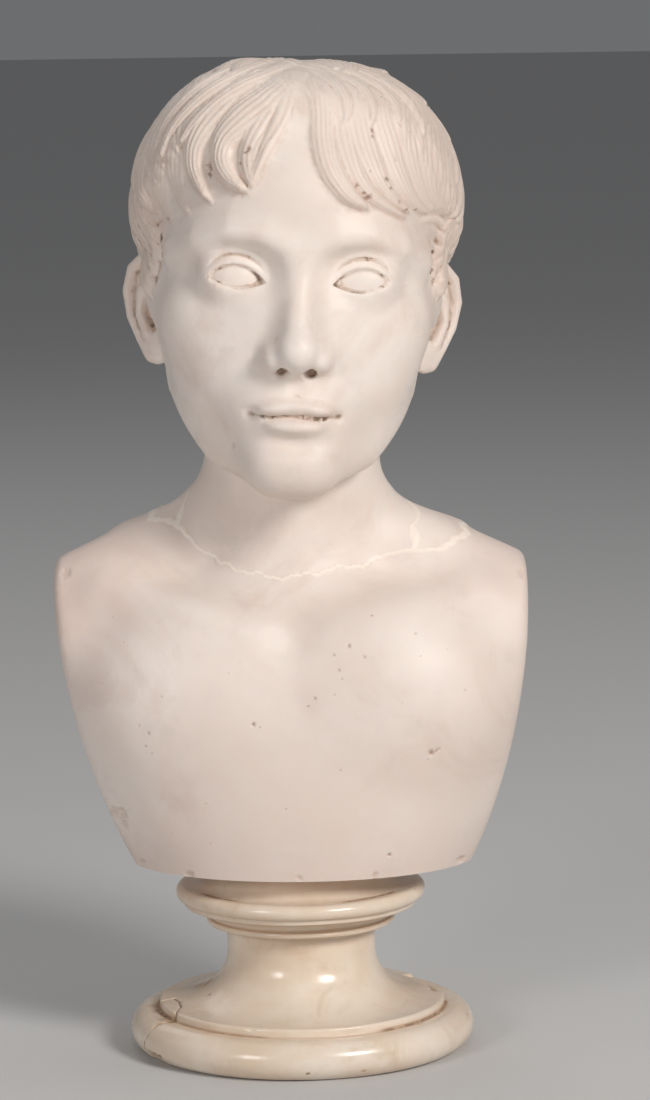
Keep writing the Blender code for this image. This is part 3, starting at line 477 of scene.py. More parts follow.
def all_locks():
    """Every lock as its line on the hair's mass, its half widths, height and grooves."""
    rows = scalp_locks()
    length = len(rows[0][0])
    s = np.linspace(0, 1, length)
    taper = (0.75 + 0.25 * ramp(4 * s)) * np.clip(1.02 - s**3.2, 0, 1) ** 0.8
    places = on_scalp(np.concatenate([r[0] for r in rows]), np.concatenate([r[1] for r in rows]))
    locks = [(places[i * length:(i + 1) * length], r[2] * taper, r[3], 4) for i, r in enumerate(rows)]
    for height, grooves, *stations in FRONT_LOCKS:
        line = curve_through(stations, 17)
        locks.append((on_front(line[:, 0], line[:, 1]), line[:, 2], height, grooves))
    return locks


def lock_relief(q, locks):
    """How far the locks stand out of the hair's mass, their grooves, and how far they cover each point."""
    rise = np.zeros(len(q))
    groove = np.zeros(len(q))
    cover = np.zeros(len(q))
    out = q - SCALP_CENTRE
    out = out / (np.linalg.norm(out, axis=1, keepdims=True) + 1e-9)
    for line, half, height, grooves in locks:
        low = line.min(axis=0) - half.max() - 2.5
        high = line.max(axis=0) + half.max() + 2.5
        near = np.flatnonzero(((q > low) & (q < high)).all(axis=1))
        nearest = np.full(len(near), 1e9)
        place = np.zeros(len(near))
        side = np.zeros(len(near))
        wide = np.ones(len(near))
        steps = len(line) - 1
        for i in range(steps):
            along = line[i + 1] - line[i]
            v = q[near] - line[i]
            t = np.clip((v @ along) / (along @ along), 0, 1)
            v = v - t[:, None] * along
            v = v - (v * out[near]).sum(axis=1)[:, None] * out[near]
            d = np.linalg.norm(v, axis=1)
            closer = d < nearest
            place = np.where(closer, (i + t) / steps, place)
            side = np.where(closer, (v * np.cross(along, out[near])).sum(axis=1), side)
            wide = np.where(closer, half[i] + t * (half[i + 1] - half[i]), wide)
            nearest = np.minimum(nearest, d)
        across = nearest / np.maximum(wide, 0.05)
        dome = np.clip(1 - across**2.3, 0, 1) ** 0.8
        lift = height * dome * (0.2 + 0.8 * ramp(place * 2.2)) * ramp((1.03 - place) * 9)
        strand = ((np.sign(side) * across + 1) / 2 * (grooves + 1) + 0.25 * np.sin(7 * place)) % 1
        notch = np.abs(2 * strand - 1) ** 2.4 * ramp(dome * 2.5) * ramp(wide / 1.3) * ramp(place * 5)
        lift = lift - STRAND_DEPTH * min(height, 1.6) / 1.6 * notch
        higher = lift > rise[near]
        rise[near] = np.where(higher, lift, rise[near])
        groove[near] = np.where(higher, notch, groove[near])
        cover[near] = np.maximum(cover[near], ramp(dome * 3) * ramp(place * 4) * (height > 0.9))
    return rise, groove, cover


def combed(turn, fall, pitch, seed, sway):
    """Crests of strands this far apart, run down from the crown, doubling in number as the rings widen."""
    dice = np.random.default_rng(seed)
    wanted = np.log2(np.maximum(np.sin(fall), 0.04) * 2 * math.pi * 38 / pitch)
    total = np.zeros(len(turn))
    for octave in range(2, 8):
        count = 2**octave
        heights = dice.uniform(0.45, 1, count)
        phases = dice.uniform(0, 6.28, 4)
        weight = np.clip(1 - np.abs(wanted - octave), 0, 1)
        if octave == 7:
            weight = np.where(wanted > octave, 1, weight)
        wave = np.sin(5 * fall + 3 * turn + phases[0]) + 0.6 * np.sin(11 * fall - 4 * turn + phases[1])
        u = (turn / (2 * math.pi) + 0.5) * count + sway * wave * count / 128
        third = max(round(count / 3), 1)
        u = u + 0.22 * np.sin(third * turn + phases[2]) + 0.18 * np.sin((third + 5) * turn + phases[3])
        cell = np.floor(u).astype(int)
        crest = 1 - np.abs(2 * (u - cell) - 1) ** 2.2
        total += weight * crest * heights[cell % count]
    return total


def strands(q):
    """Height of the fine combed hair that lies over the whole scalp."""
    v = q - SCALP_CENTRE
    v = v / (np.linalg.norm(v, axis=1, keepdims=True) + 1e-9)
    turn = np.arctan2(v @ ACROSS, v @ FORWARD)
    fall = np.arccos(np.clip(v @ CROWN, -1, 1))
    inside = ramp((hair_edge(np.degrees(turn)) + 1 - np.degrees(fall)) / 6)
    turn = turn + 0.9 * ramp(1 - fall / 1.0)
    fine = combed(turn, fall, STRAND_PITCH, 11, 1.1)
    clumps = combed(turn, fall, CLUMP_PITCH, 23, 2.6)
    return inside * (STRAND_HEIGHT * fine + CLUMP_HEIGHT * clumps), inside * (1 - fine)


# Surface: a closed net of four-sided faces round the cells that the form's surface crosses


def field_on_grid(form, low, cell, size):
    """The form on every grid point: exact near the surface, from a grid four times coarser elsewhere."""
    coarse = [n // 4 + 2 for n in size]
    axes = [low[i] + 4 * cell * np.arange(coarse[i]) for i in range(3)]
    value = form(np.stack(np.meshgrid(*axes, indexing="ij"), -1).reshape(-1, 3)).reshape(coarse)
    for axis in range(3):
        place = np.arange(size[axis]) / 4
        base = np.minimum(place.astype(int), coarse[axis] - 2)
        shape = [1, 1, 1]
        shape[axis] = -1
        part = (place - base).reshape(shape)
        value = np.take(value, base, axis) * (1 - part) + np.take(value, base + 1, axis) * part
    close = np.abs(value) < 6.4 * cell
    value[close] = form(low + np.argwhere(close) * cell)
    return value


def opened(value, cell):
    """The grid's values with corners filled where the surface would otherwise touch itself."""
    fill = -0.05 * cell
    whole = slice(None)
    for _ in range(6):
        inside = value < 0
        changed = False
        for u, v in ((0, 1), (1, 2), (0, 2)):
            pick = []
            for first in (slice(None, -1), slice(1, None)):
                for second in (slice(None, -1), slice(1, None)):
                    place = [whole, whole, whole]
                    place[u] = first
                    place[v] = second
                    pick.append(tuple(place))
            a, b, c, d = (inside[place] for place in pick)
            for bad, corner in ((a & d & ~b & ~c, pick[1]), (~a & ~d & b & c, pick[0])):
                part = value[corner]
                part[bad] = fill
                changed = changed or bad.any()
        if not changed:
            break
    return value


def net_points(value, low, cell):
    """One point for each crossed cell, and the cell's number in the list."""
    inside = value < 0
    count = sum(inside[a:a - 1 or None, b:b - 1 or None, c:c - 1 or None].astype(int)
                for a in (0, 1) for b in (0, 1) for c in (0, 1))
    live = (count > 0) & (count < 8)
    cells = np.argwhere(live)
    number = np.full(live.shape, -1)
    number[live] = np.arange(len(cells))
    total = np.zeros((len(cells), 3))
    hits = np.zeros(len(cells))
    for axis in range(3):
        u, v = [i for i in range(3) if i != axis]
        for corner in ((0, 0), (0, 1), (1, 0), (1, 1)):
            start = cells.copy()
            start[:, u] += corner[0]
            start[:, v] += corner[1]
            end = start.copy()
            end[:, axis] += 1
            a = value[tuple(start.T)]
            b = value[tuple(end.T)]
            crossed = (a < 0) != (b < 0)
            place = low + start * cell
            place[:, axis] += cell * np.where(crossed, a / np.where(crossed, a - b, 1), 0)
            total += place * crossed[:, None]
            hits += crossed
    return total / hits[:, None], number


def net_faces(value, number):
    inside = value < 0
    faces = []
    for axis, u, v in ((0, 1, 2), (1, 2, 0), (2, 0, 1)):
        change = np.diff(inside, axis=axis)
        edge = np.argwhere(change)
        edge = edge[(edge[:, u] > 0) & (edge[:, v] > 0)]
        corners = []
        for back in ((1, 1), (0, 1), (0, 0), (1, 0)):
            cell = edge.copy()
            cell[:, u] -= back[0]
            cell[:, v] -= back[1]
            corners.append(number[tuple(cell.T)])
        face = np.stack(corners, axis=1)
        outward = inside[tuple(edge.T)]
        faces.append(np.where(outward[:, None], face, face[:, ::-1]))
    return np.concatenate(faces)


def settled(form, points, cell):
    """The points moved onto the form's surface, none by more than half a cell at a time."""
    for _ in range(2):
        d = form(points)
        slope = np.empty_like(points)
        for axis in range(3):
            step = np.zeros(3)
            step[axis] = 0.1
            slope[:, axis] = (form(points + step) - form(points - step)) / 0.2
        size = np.maximum(np.linalg.norm(slope, axis=1), 0.7)
        points = points - (np.clip(d / size, -cell / 2, cell / 2) / size)[:, None] * slope
    return points


def net(form, low, high, cell):
    low = np.array(low, float)
    size = np.ceil((np.array(high) - low) / cell).astype(int) + 1
    value = opened(field_on_grid(form, low, cell, size), cell)
    points, number = net_points(value, low, cell)
    return settled(form, points, cell), net_faces(value, number)


# Fine bust

# Depth of a lock's strands, and how far apart and how high the combed strands and clumps are, in head units
STRAND_DEPTH = 0.34
STRAND_PITCH = 1.9
STRAND_HEIGHT = 0.34
CLUMP_PITCH = 6.5
CLUMP_HEIGHT = 0.45

# In points: the net's cell before it is refined, the neck's axis, and the fill of the mended break
FINE_CELL = 3.0
NECK_AXIS = (OFFSET + LEAN, 15.0)
FILL_HALF_WIDTH = 1.25
FILL_HEIGHT = 0.45

# What lies before this depth is seen from the front, and what lies under this height is chest
FRONT_DEPTH = 12.0
CHEST_TOP = 200.0
BUST_TRIANGLES = 190000


def lips(m):
    """The fullness of the generic lips, finer than the CAD's."""
    upper = tilted(m, (3.3, -35.9, -29.1), (5.4, 3.7, 2.0), "y", 9)
    upper = smooth_min(upper, ellipsoid(m, (0, -36.3, -28.9), (2.6, 3.4, 1.8)), 1.2)
    return smooth_min(upper, ellipsoid(m, (0, -36.0, -33.4), (6.8, 4.1, 2.3)), 0.9)


def unlocked(p):
    """The body with its ears, lips and the mass of hair, before the locks."""
    d = body(p)
    chin = HEAD_CENTRE[2] - HEAD_POINTS * 0.55
    near = np.flatnonzero((p[:, 2] > chin) & (np.abs(d) < 30))
    q = to_head(p[near])
    m = mirrored(q)
    d[near] = smooth_min(d[near] - hair_mass(q) * UNIT, ear(m) * UNIT, 2)
    d[near] = smooth_min(d[near], lips(m) * UNIT, 2.4)
    return d


def bust_mesh(points, faces):
    mesh = bpy.data.meshes.new("bust")
    mesh.from_pydata(points.tolist(), [], faces)
    return mesh


def mesh_points(mesh):
    points = np.empty(len(mesh.vertices) * 3)
    mesh.vertices.foreach_get("co", points)
    return points.reshape(-1, 3)


def refined(points, faces, wanted):
    """Splits in four the faces whose centres are wanted, and their neighbours to match."""
    mesh = bust_mesh(points, faces)
    shape = bmesh.new()
    shape.from_mesh(mesh)
    centres = np.array([face.calc_center_median() for face in shape.faces])
    chosen = np.flatnonzero(wanted(centres))
    shape.faces.ensure_lookup_table()
    edges = {edge for i in chosen for edge in shape.faces[i].edges}
    bmesh.ops.subdivide_edges(shape, edges=list(edges), cuts=1, use_grid_fill=True)
    shape.to_mesh(mesh)
    shape.free()
    return mesh_points(mesh), [tuple(face.vertices) for face in mesh.polygons]


def scalp_place(q):
    v = q - SCALP_CENTRE
    v = v / np.linalg.norm(v, axis=1, keepdims=True)
    turn = np.degrees(np.arctan2(v @ ACROSS, v @ FORWARD))
    return turn, np.degrees(np.arccos(np.clip(v @ CROWN, -1, 1)))


def near_marks(p, reach):
    """Places on the front of the chest this near to a chip or a brown spot."""
    near = np.zeros(len(p), bool)
    for x, z, size, *_ in CHIPS + SPOTS:
        near |= (np.abs(p[:, 0] - x) < reach + size) & (np.abs(p[:, 2] - z) < reach + size)
    return near & (p[:, 1] < 0) & (p[:, 2] < CHEST_TOP)


def wants_fine(p):
    """Hair, ears, the carved middle of the face and the mended break."""
    q = to_head(p)
    m = mirrored(q)
    turn, fall = scalp_place(q)
    hair = (q[:, 2] > -28) & (fall < hair_edge(turn) + 3)
    fringe = (q[:, 2] > 12) & (q[:, 1] < -5)
    ears = np.linalg.norm(m - np.array(EAR) - (4, 3, 0), axis=1) < 18
    features = (m[:, 0] < 26) & (q[:, 1] < -18) & (q[:, 2] < 14) & (q[:, 2] > -42)
    return hair | fringe | ears | features | (off_fill(p) < 6) | near_marks(p, 6)


def wants_finest(p):
    """Eyes, lips, nose, ears, the hair seen from the front, the mended break and the marks on the chest."""
    q = to_head(p)
    m = mirrored(q)
    turn, fall = scalp_place(q)
    at_eyes = (np.abs(m[:, 0] - 14.4) < 9) & (np.abs(m[:, 2] - 0.4) < 6) & (m[:, 1] < -20)
    at_lips = (m[:, 0] < 12) & (np.abs(m[:, 2] + 31.5) < 5) & (m[:, 1] < -30)
    at_nose = (m[:, 0] < 9) & (np.abs(m[:, 2] + 18) < 5) & (m[:, 1] < -32)
    face = at_eyes | at_lips | at_nose
    ears = np.linalg.norm(m - np.array(EAR) - (4, 3, 0), axis=1) < 15
    front_hair = (fall < hair_edge(turn) + 2) & (np.abs(turn) < 112) & (q[:, 2] > -4)
    fringe = (q[:, 2] > 13) & (q[:, 1] < -8)
    return face | ears | front_hair | fringe | (off_fill(p) < 3) | near_marks(p, 2.5)


def fill_height(turn):
    """Height of the mended break round the base of the neck, from its angle off the front."""
    table = np.array(FILL_LINE, float)
    steps = 0.8 * np.sin(turn / 4.1) + 0.5 * np.sin(turn / 1.7 + 1) + 0.25 * np.sin(turn / 0.6)
    return np.interp(turn, table[:, 0], table[:, 1]) + steps


# The mended break: angle off the front, height in points
FILL_LINE = (
    (-180, 178), (-140, 183), (-110, 187), (-86, 188), (-68, 181), (-60, 171), (-48, 163),
    (-34, 160.5), (-12, 157), (2, 157), (27, 160.5), (54, 161.5), (66, 167.5), (76, 172.5), (90, 178),
    (110, 181), (140, 180), (180, 178),
)
BRANCHES = (((-69, 181.5), (-74, 190), (-80, 197)), ((66, 167.5), (71, 180), (86, 191)))


def off_fill(p):
    """How far points near the neck's base lie from the mended break and its two branches."""
    x = p[:, 0] - NECK_AXIS[0]
    y = p[:, 1] - NECK_AXIS[1]
    turn = np.degrees(np.arctan2(x, -y))
    reach = np.hypot(x, y)
    away = np.abs(p[:, 2] - fill_height(turn)) * 0.9
    for path in BRANCHES:
        path = np.array(path, float)
        at = np.interp(p[:, 2], path[:, 1], path[:, 0])
        beyond = np.maximum(path[0, 1] - p[:, 2], 0) + np.maximum(p[:, 2] - path[-1, 1], 0)
        off = np.radians(np.abs(turn - at)) * reach + beyond + 0.3 * np.sin(p[:, 2] / 1.9)
        away = np.minimum(away, off)
    return away


# Chips and pits seen from the front: x, height, size and depth in points
CHIPS = (
    (-96, 31, 5.5, 2.4), (-93, 25, 3.2, 1.2), (-22.5, 85, 1.7, 1.0), (70, 67.5, 2.4, 1.0),
    (73.5, 69, 1.6, 0.8), (47.5, 12.5, 1.4, 0.9), (27.5, 125, 1.1, 0.7), (35, 119.5, 1.0, 0.6),
    (-77.5, 80, 1.0, 0.5), (62.5, 130, 0.9, 0.5), (-58, 1.5, 3.0, 0.9), (40, 1.5, 2.6, 0.8),
    (86, 3, 3.0, 1.0), (-84, 4, 2.6, 0.9), (0, 2, 2.2, 0.6), (120, 155, 3.2, 0.7),
    (-122, 158, 3.6, 0.8),
)
# Brown spots on the chest: x, height and size in points
SPOTS = (
    (20, 120, 1.0), (22.5, 112.5, 1.2), (24, 108, 0.8), (20, 100, 0.9), (10, 98, 1.4), (6, 94, 1.1),
    (28, 124.5, 1.5), (36, 119, 0.9), (-22.5, 85, 1.6), (-19, 83.5, 0.9), (70, 67.5, 2.0),
    (72.5, 68.5, 1.3), (68, 64, 0.8), (-77.5, 80, 1.0), (-79, 73, 1.1), (-76, 69, 0.8), (-82, 84, 0.8),
    (22.5, 60, 0.9), (47.5, 12.5, 1.3), (40, 139, 0.9), (62.5, 130, 0.9), (-6, 40, 0.8),
    (-48, 42, 0.8), (-70, 100, 0.8), (88, 100, 0.8), (-35, 112, 0.8), (55, 95, 0.7),
)
# Dirt left in the hair, seen from the front: x, z and size in head units
HAIR_DIRT = (
    (-12.1, 28.6, 0.8), (-12.9, 28.0, 0.6), (-14.1, 25.7, 0.45), (-21.1, 24.4, 0.7),
    (-21.2, 23.0, 0.8), (-21.3, 25.2, 0.5), (15.4, 34.3, 0.7), (15.4, 33.0, 0.5), (12.0, 21.8, 0.5),
    (14.6, 19.4, 0.9), (13.6, 20.2, 0.5), (18.6, 23.3, 0.8), (19.6, 21.4, 0.5), (21.6, 18.4, 0.5),
    (23.4, 16.7, 0.4), (26.2, 16.6, 0.35), (31.6, 2.2, 0.5), (32.4, 9.0, 0.4), (-29.9, 12, 0.4),
    (-31, 5.2, 0.6), (-22.5, 47.5, 0.5),
)


# Paler and darker parts of the chest, among them painted highlights where the light catches the crest of the
# collarbone, the breastbone and the breast on the right, and painted shade in the pit of the throat: x and
# height of two ends in points, width and strength
TONES_AND_PAINTED_LIGHT = (
    (-86, 154, -8, 128, 9, 0.7), (-10, 128, -2, 122, 12, 0.6), (62, 118, 82, 105, 34, 0.5),
    (-60, 60, -20, 50, 30, 0.25), (-96, 147, -90, 138, 16, -0.7), (4, 106, 8, 94, 15, -0.6),
    (4, 140, 12, 136, 10, -0.5), (-50, 100, -62, 84, 22, -0.35), (30, 70, 52, 58, 24, -0.35),
    (-30, 30, 20, 24, 20, -0.25), (84, 150, 100, 140, 14, -0.4), (-70, 20, -84, 40, 14, -0.4),
)


def toned_with_painted_light(points):
    """How much paler or darker than the rest each place on the chest is, painted highlights and painted
    shade included.
    """
    tone_and_painted_light = np.zeros(len(points))
    places = points[:, [0, 2]]
    for x1, z1, x2, z2, width, strength in TONES_AND_PAINTED_LIGHT:
        along = np.array((x2 - x1, z2 - z1), float)
        t = np.clip((places - (x1, z1)) @ along / (along @ along), 0, 1)
        away = np.linalg.norm(places - (x1, z1) - t[:, None] * along, axis=1)
        tone_and_painted_light += strength * ramp(1 - away / width)
    return tone_and_painted_light


def spotted(first, second, spots):
    """The values of small uneven spots, from two coordinates of each point."""
    value = np.zeros(len(first))
    for x, z, size in spots:
        away = np.hypot(first - x, second - z)
        bearing = np.arctan2(second - z, first - x)
        away = away * (1 + 0.15 * np.sin(2 * bearing + 5 * x) + 0.1 * np.sin(5 * bearing + z))
        value = np.maximum(value, ramp(1.5 * (1 - away / size)))
    return value


def chips(points):
    """Depth of the small chips and pits at each point."""
    depth = np.zeros(len(points))
    front = points[:, 1] < FRONT_DEPTH
    for x, z, size, deep in CHIPS:
        away = np.hypot(points[:, 0] - x, points[:, 2] - z)
        bearing = np.arctan2(points[:, 2] - z, points[:, 0] - x)
        away = away + size * (0.1 * np.sin(2 * bearing + x) + 0.07 * np.sin(5 * bearing + z))
        depth = np.maximum(depth, deep * ramp(1.3 * (1 - away / size)) * front)
    return depth


def mesh_normals(points, faces):
    mesh = bust_mesh(points, faces)
    normals = np.empty(len(mesh.vertices) * 3)
    mesh.vertices.foreach_get("normal", normals)
    bpy.data.meshes.remove(mesh)
    return normals.reshape(-1, 3)


def neighbours(points, faces):
    """A function that gives each point the mean of its neighbours' values, and how far off they are."""
    corners = np.array([face + (face[-1],) * (4 - len(face)) for face in faces if len(face) < 5])
    pairs = np.concatenate([corners[:, [i, (i + 1) % 4]] for i in range(4)])
    pairs = np.sort(pairs[pairs[:, 0] != pairs[:, 1]], axis=1)
    pairs = np.unique(pairs, axis=0)
    first, second = pairs.T
    degree = np.maximum(np.bincount(pairs.ravel(), minlength=len(points)), 1)

    def average(values):
        columns = values.reshape(len(points), -1)
        total = np.empty_like(columns)
        for k in range(columns.shape[1]):
            total[:, k] = np.bincount(first, columns[second, k], len(points))
            total[:, k] += np.bincount(second, columns[first, k], len(points))
        return (total / degree[:, None]).reshape(values.shape)

    length = np.linalg.norm(points[first] - points[second], axis=1)
    spacing = np.bincount(first, length, len(points)) + np.bincount(second, length, len(points))
    return average, spacing / degree


def hollow_at(points, normals, average, spacing, rounds):
    """How far each point lies below the mean of its surroundings, for neighbours one point off."""
    middle = points
    for _ in range(rounds):
        middle = average(middle)
    return average(((middle - points) * normals).sum(axis=1) / np.maximum(spacing, 0.5) ** 2)


def carved(points, normals, q, pits):
    """The points with the locks, strands, fill and chips carved in, and the values that these give."""
    clear = ramp((ear(mirrored(q)) - 0.2) / 2.0) * (q[:, 2] > -30)
    rise, groove, cover = lock_relief(q, all_locks())
    comb, gap = strands(q)
    lift = clear * (rise + comb * (1 - cover)) * UNIT
    wide = FILL_HALF_WIDTH * (0.62 + 0.35 * ramp((np.abs(points[:, 0]) - 15) / 45))
    fill = ramp(1.7 * (1 - off_fill(points) / wide))
    lumps = 0.7 + 0.3 * np.sin(points[:, 0] * 1.3 + points[:, 1]) * np.sin(points[:, 2] * 1.1)
    values = {
        "groove": clear * np.maximum(groove * cover, gap * (1 - cover)),
        "hair": clear * ramp(2 * np.maximum(rise, comb)),
        "fill": fill,
        "pit": ramp(pits / 0.7),
    }
    return points + normals * (lift + FILL_HEIGHT * fill * lumps - pits)[:, None], values


def worn(points, q):
    """The values of the marble's spots, of where dirt gathers, of where it is darker below the head, and of
    the paler and darker parts of the chest with their painted highlights and painted shade.
    """
    front = points[:, 1] < FRONT_DEPTH
    on_chest = 0.8 * spotted(points[:, 0], points[:, 2], [(x, z, 0.8 * size) for x, z, size in SPOTS])
    spots = np.where(points[:, 2] < CHEST_TOP, on_chest, spotted(q[:, 0], q[:, 2], HAIR_DIRT))
    # Darker below the chin, at the shoulders and towards the bottom of the chest
    shoulders = ramp((np.abs(points[:, 0]) - 60) / 60) * ramp((points[:, 2] - 95) / 60)
    base = ramp((40 - points[:, 2]) / 40)
    return {
        "spot": spots * front,
        "dirty": ramp((13 - q[:, 2]) / 3) * ramp((q[:, 2] + 44) / 5),
        "darker_below_head": 0.3 * ramp((222 - points[:, 2]) / 30) + 0.7 * shoulders + 0.45 * base,
        # Paler and darker parts of the chest, with painted highlights and painted shade among them
        "tone_and_painted_light": toned_with_painted_light(points) * front,
    }


def make_fine_bust():
    points, faces = net(unlocked, (-142, -124, -14), (142, 136, 440), FINE_CELL)
    points, faces = refined(points, faces.tolist(), wants_fine)
    points, faces = refined(points, faces, wants_finest)
    points = settled(unlocked, points, FINE_CELL / 3)
    average, spacing = neighbours(points, faces)
    q = to_head(points)
    pits = chips(points)
    points, values = carved(points, mesh_normals(points, faces), q, pits)
    values["hollow"] = hollow_at(points, mesh_normals(points, faces), average, spacing, 6)
    values.update(worn(points, q))
    mesh = bust_mesh(points * POINT, faces)
    for name, value in values.items():
        add_values(mesh, name, value)
    marked = (off_fill(points) < 2.5) | near_marks(points, 2) | (pits > 0.02) | (values["spot"] > 0.02)
    mesh = lightened(mesh, marked)
    cut_flat(mesh)
    mesh.shade_smooth()
    fit_box(mesh)
    obj = bpy.data.objects.new("marble_bust", mesh)
    bpy.context.scene.collection.objects.link(obj)
    return obj


def fit_box(mesh):
    """Draws the mesh in, along each axis as far as needed, to its solid's box, and puts it in its place."""
    places = mesh_points(mesh)
    low = places.min(axis=0)
    high = places.max(axis=0)
    room = [min(BUST_LOW[axis] / low[axis], BUST_HIGH[axis] / high[axis]) for axis in range(2)]
    room.append((BUST_HIGH[2] - BUST_LOW[2]) / high[2])
    for axis in range(3):
        mesh.transform(Matrix.Scale(min(1.0, room[axis]), 4, [float(k == axis) for k in range(3)]))
    mesh.transform(Matrix.Translation((0, 0, BUST_LOW[2])))


def add_values(mesh, name, values):
    layer = mesh.attributes.new(name, "FLOAT", "POINT")
    layer.data.foreach_set("value", values.astype(np.float32))


def lightened(mesh, marked):
    """The same shape in fewer triangles, with its net left whole at the marked points."""
    holder = bpy.data.objects.new("holder", mesh)
    bpy.context.scene.collection.objects.link(holder)
    holder.vertex_groups.new(name="marked").add(np.flatnonzero(marked).tolist(), 1.0, "REPLACE")
    lighter = holder.modifiers.new("lighter", "DECIMATE")
    lighter.ratio = BUST_TRIANGLES / sum(len(face.vertices) - 2 for face in mesh.polygons)
    lighter.vertex_group = "marked"
    lighter.invert_vertex_group = True
    graph = bpy.context.evaluated_depsgraph_get()
    done = holder.evaluated_get(graph)
    result = bpy.data.meshes.new_from_object(done, preserve_all_data_layers=True, depsgraph=graph)
    bpy.data.objects.remove(holder)
    return result


def cut_flat(mesh):
    """Takes off what lies below z = 0 and closes the cut with one flat face."""
    shape = bmesh.new()
    shape.from_mesh(mesh)
    parts = shape.verts[:] + shape.edges[:] + shape.faces[:]
    bmesh.ops.bisect_plane(shape, geom=parts, dist=1e-6, plane_co=(0, 0, 0), plane_no=(0, 0, -1),
                           clear_outer=True)
    rim = [edge for edge in shape.edges if edge.is_boundary]
    for edge in rim:
        edge.smooth = False
    bmesh.ops.edgeloop_fill(shape, edges=rim)
    bmesh.ops.recalc_face_normals(shape, faces=shape.faces[:])
    shape.to_mesh(mesh)
    shape.free()


# Fine socle

FOOT_RADIUS = 0.0926
FOOT_HEIGHT = 0.0210
LEDGE_RADIUS = 0.0770
LEDGE_HEIGHT = 0.0045
HOLLOW_HEIGHT = 0.0265
NECK_RADIUS = 0.0400
NECK_HEIGHT = 0.0156
LOWER_FILLET_RADIUS = 0.0509
LOWER_FILLET_HEIGHT = 0.0033
UPPER_FILLET_RADIUS = 0.0629
UPPER_FILLET_HEIGHT = 0.0097
RIM_RADIUS = 0.0673
RIM_HEIGHT = 0.0081
SEAT_HEIGHT = 0.0125
# First and last angle off the front and step between the socle's profiles, finer where its foot is cracked
SOCLE_TURNS = ((-180, -104, 1.9), (-104, -52, 0.45), (-52, 100, 1.35), (100, 130, 0.8), (130, 180, 1.9))
PROFILE_STEP = 0.0011


def arc(centre, radii, start, end, count):
    """Points of an elliptical arc in the socle's profile, as radius and height."""
    angles = np.radians(np.linspace(start, end, count))
    return [(centre[0] + radii[0] * math.cos(a), centre[1] + radii[1] * math.sin(a)) for a in angles]


def socle_profile():
    """Radius and height, from the rim of the underside to the rim of the seat."""
    z = 0.0
    half = FOOT_HEIGHT / 2
    line = arc((FOOT_RADIUS - half, half), (half, half), -90, 80, 40)
    z += FOOT_HEIGHT
    line += [(LEDGE_RADIUS + 0.0004, z - 0.0002), (LEDGE_RADIUS, z + 0.0004)]
    line += [(LEDGE_RADIUS, z + LEDGE_HEIGHT - 0.0010)]
    z += LEDGE_HEIGHT
    line += [(LEDGE_RADIUS - 0.0004, z - 0.0003), (LEDGE_RADIUS - 0.0012, z)]
    lip = LEDGE_RADIUS - 0.0025
    line += arc((lip, z + HOLLOW_HEIGHT), (lip - NECK_RADIUS, HOLLOW_HEIGHT), -90, -180, 40)
    z += HOLLOW_HEIGHT + NECK_HEIGHT
    cove = NECK_HEIGHT * 0.2
    line += arc((LOWER_FILLET_RADIUS, z - cove), (LOWER_FILLET_RADIUS - NECK_RADIUS, cove), 180, 100, 12)
    bead = LOWER_FILLET_HEIGHT / 2
    line += arc((LOWER_FILLET_RADIUS - bead, z + bead), (bead, bead), -80, 80, 12)
    z += LOWER_FILLET_HEIGHT
    inner = LOWER_FILLET_RADIUS - 0.0012
    rise = 0.7 * UPPER_FILLET_HEIGHT
    line += arc((UPPER_FILLET_RADIUS - 0.0004, z), (UPPER_FILLET_RADIUS - 0.0004 - inner, rise), 178, 90, 14)
    line += [(UPPER_FILLET_RADIUS, z + rise + 0.0004)]
    z += UPPER_FILLET_HEIGHT
    line += [(UPPER_FILLET_RADIUS, z - 0.0006)]
    half = RIM_HEIGHT / 2
    line += arc((RIM_RADIUS - half, z + half), (half, half), -68, 90, 24)
    z += RIM_HEIGHT
    lip = RIM_RADIUS - half - 0.004
    line += arc((lip, z + SEAT_HEIGHT - 0.001), (lip - SEAT_RADIUS, SEAT_HEIGHT - 0.001), -90, -180, 16)
    return line + [(SEAT_RADIUS, z + SEAT_HEIGHT)]


def evenly(line, step):
    line = np.array(line)
    lengths = np.concatenate(([0], np.cumsum(np.linalg.norm(np.diff(line, axis=0), axis=1))))
    places = np.union1d(np.arange(0, lengths[-1], step), lengths)
    keep = np.concatenate(([True], np.diff(places) > 0.15 * step))
    keep[-1] = True
    places = places[keep]
    return np.stack((np.interp(places, lengths, line[:, 0]), np.interp(places, lengths, line[:, 1])), axis=1)


def near_path(points, path, width):
    """One on a path of points, falling to nothing at its width."""
    path = np.array(path, float)
    best = np.full(len(points), 1e9)
    for a, b in zip(path, path[1:]):
        along = b - a
        t = np.clip(((points - a) @ along) / (along @ along), 0, 1)
        best = np.minimum(best, np.linalg.norm(points - a - t[:, None] * along, axis=1))
    return ramp(1 - best / width)


def around(degrees, radius, height):
    """A place on the socle from its angle off the front, its radius and its height."""
    a = math.radians(degrees - 90)
    return (radius * math.cos(a), radius * math.sin(a), height)


# Cracks of the socle: angle off the front in degrees, radius and height
CRACKS = (
    ((-68, 0.0905, 0.003), (-66, 0.0926, 0.0085), (-63.5, 0.0917, 0.0141), (-62, 0.0882, 0.0188),
     (-61.5, 0.0843, 0.0207), (-61, 0.0775, 0.0212)),
    ((-61, 0.0775, 0.0212), (-60, 0.0772, 0.0248), (-63, 0.0745, 0.0257), (-69.5, 0.0691, 0.0258),
     (-78, 0.0676, 0.0259), (-86, 0.069, 0.0258), (-84, 0.074, 0.0257), (-83, 0.0772, 0.0245)),
    ((148, 0.08, 0.021), (150, 0.09, 0.016), (146, 0.0926, 0.009), (151, 0.089, 0.002)),
)
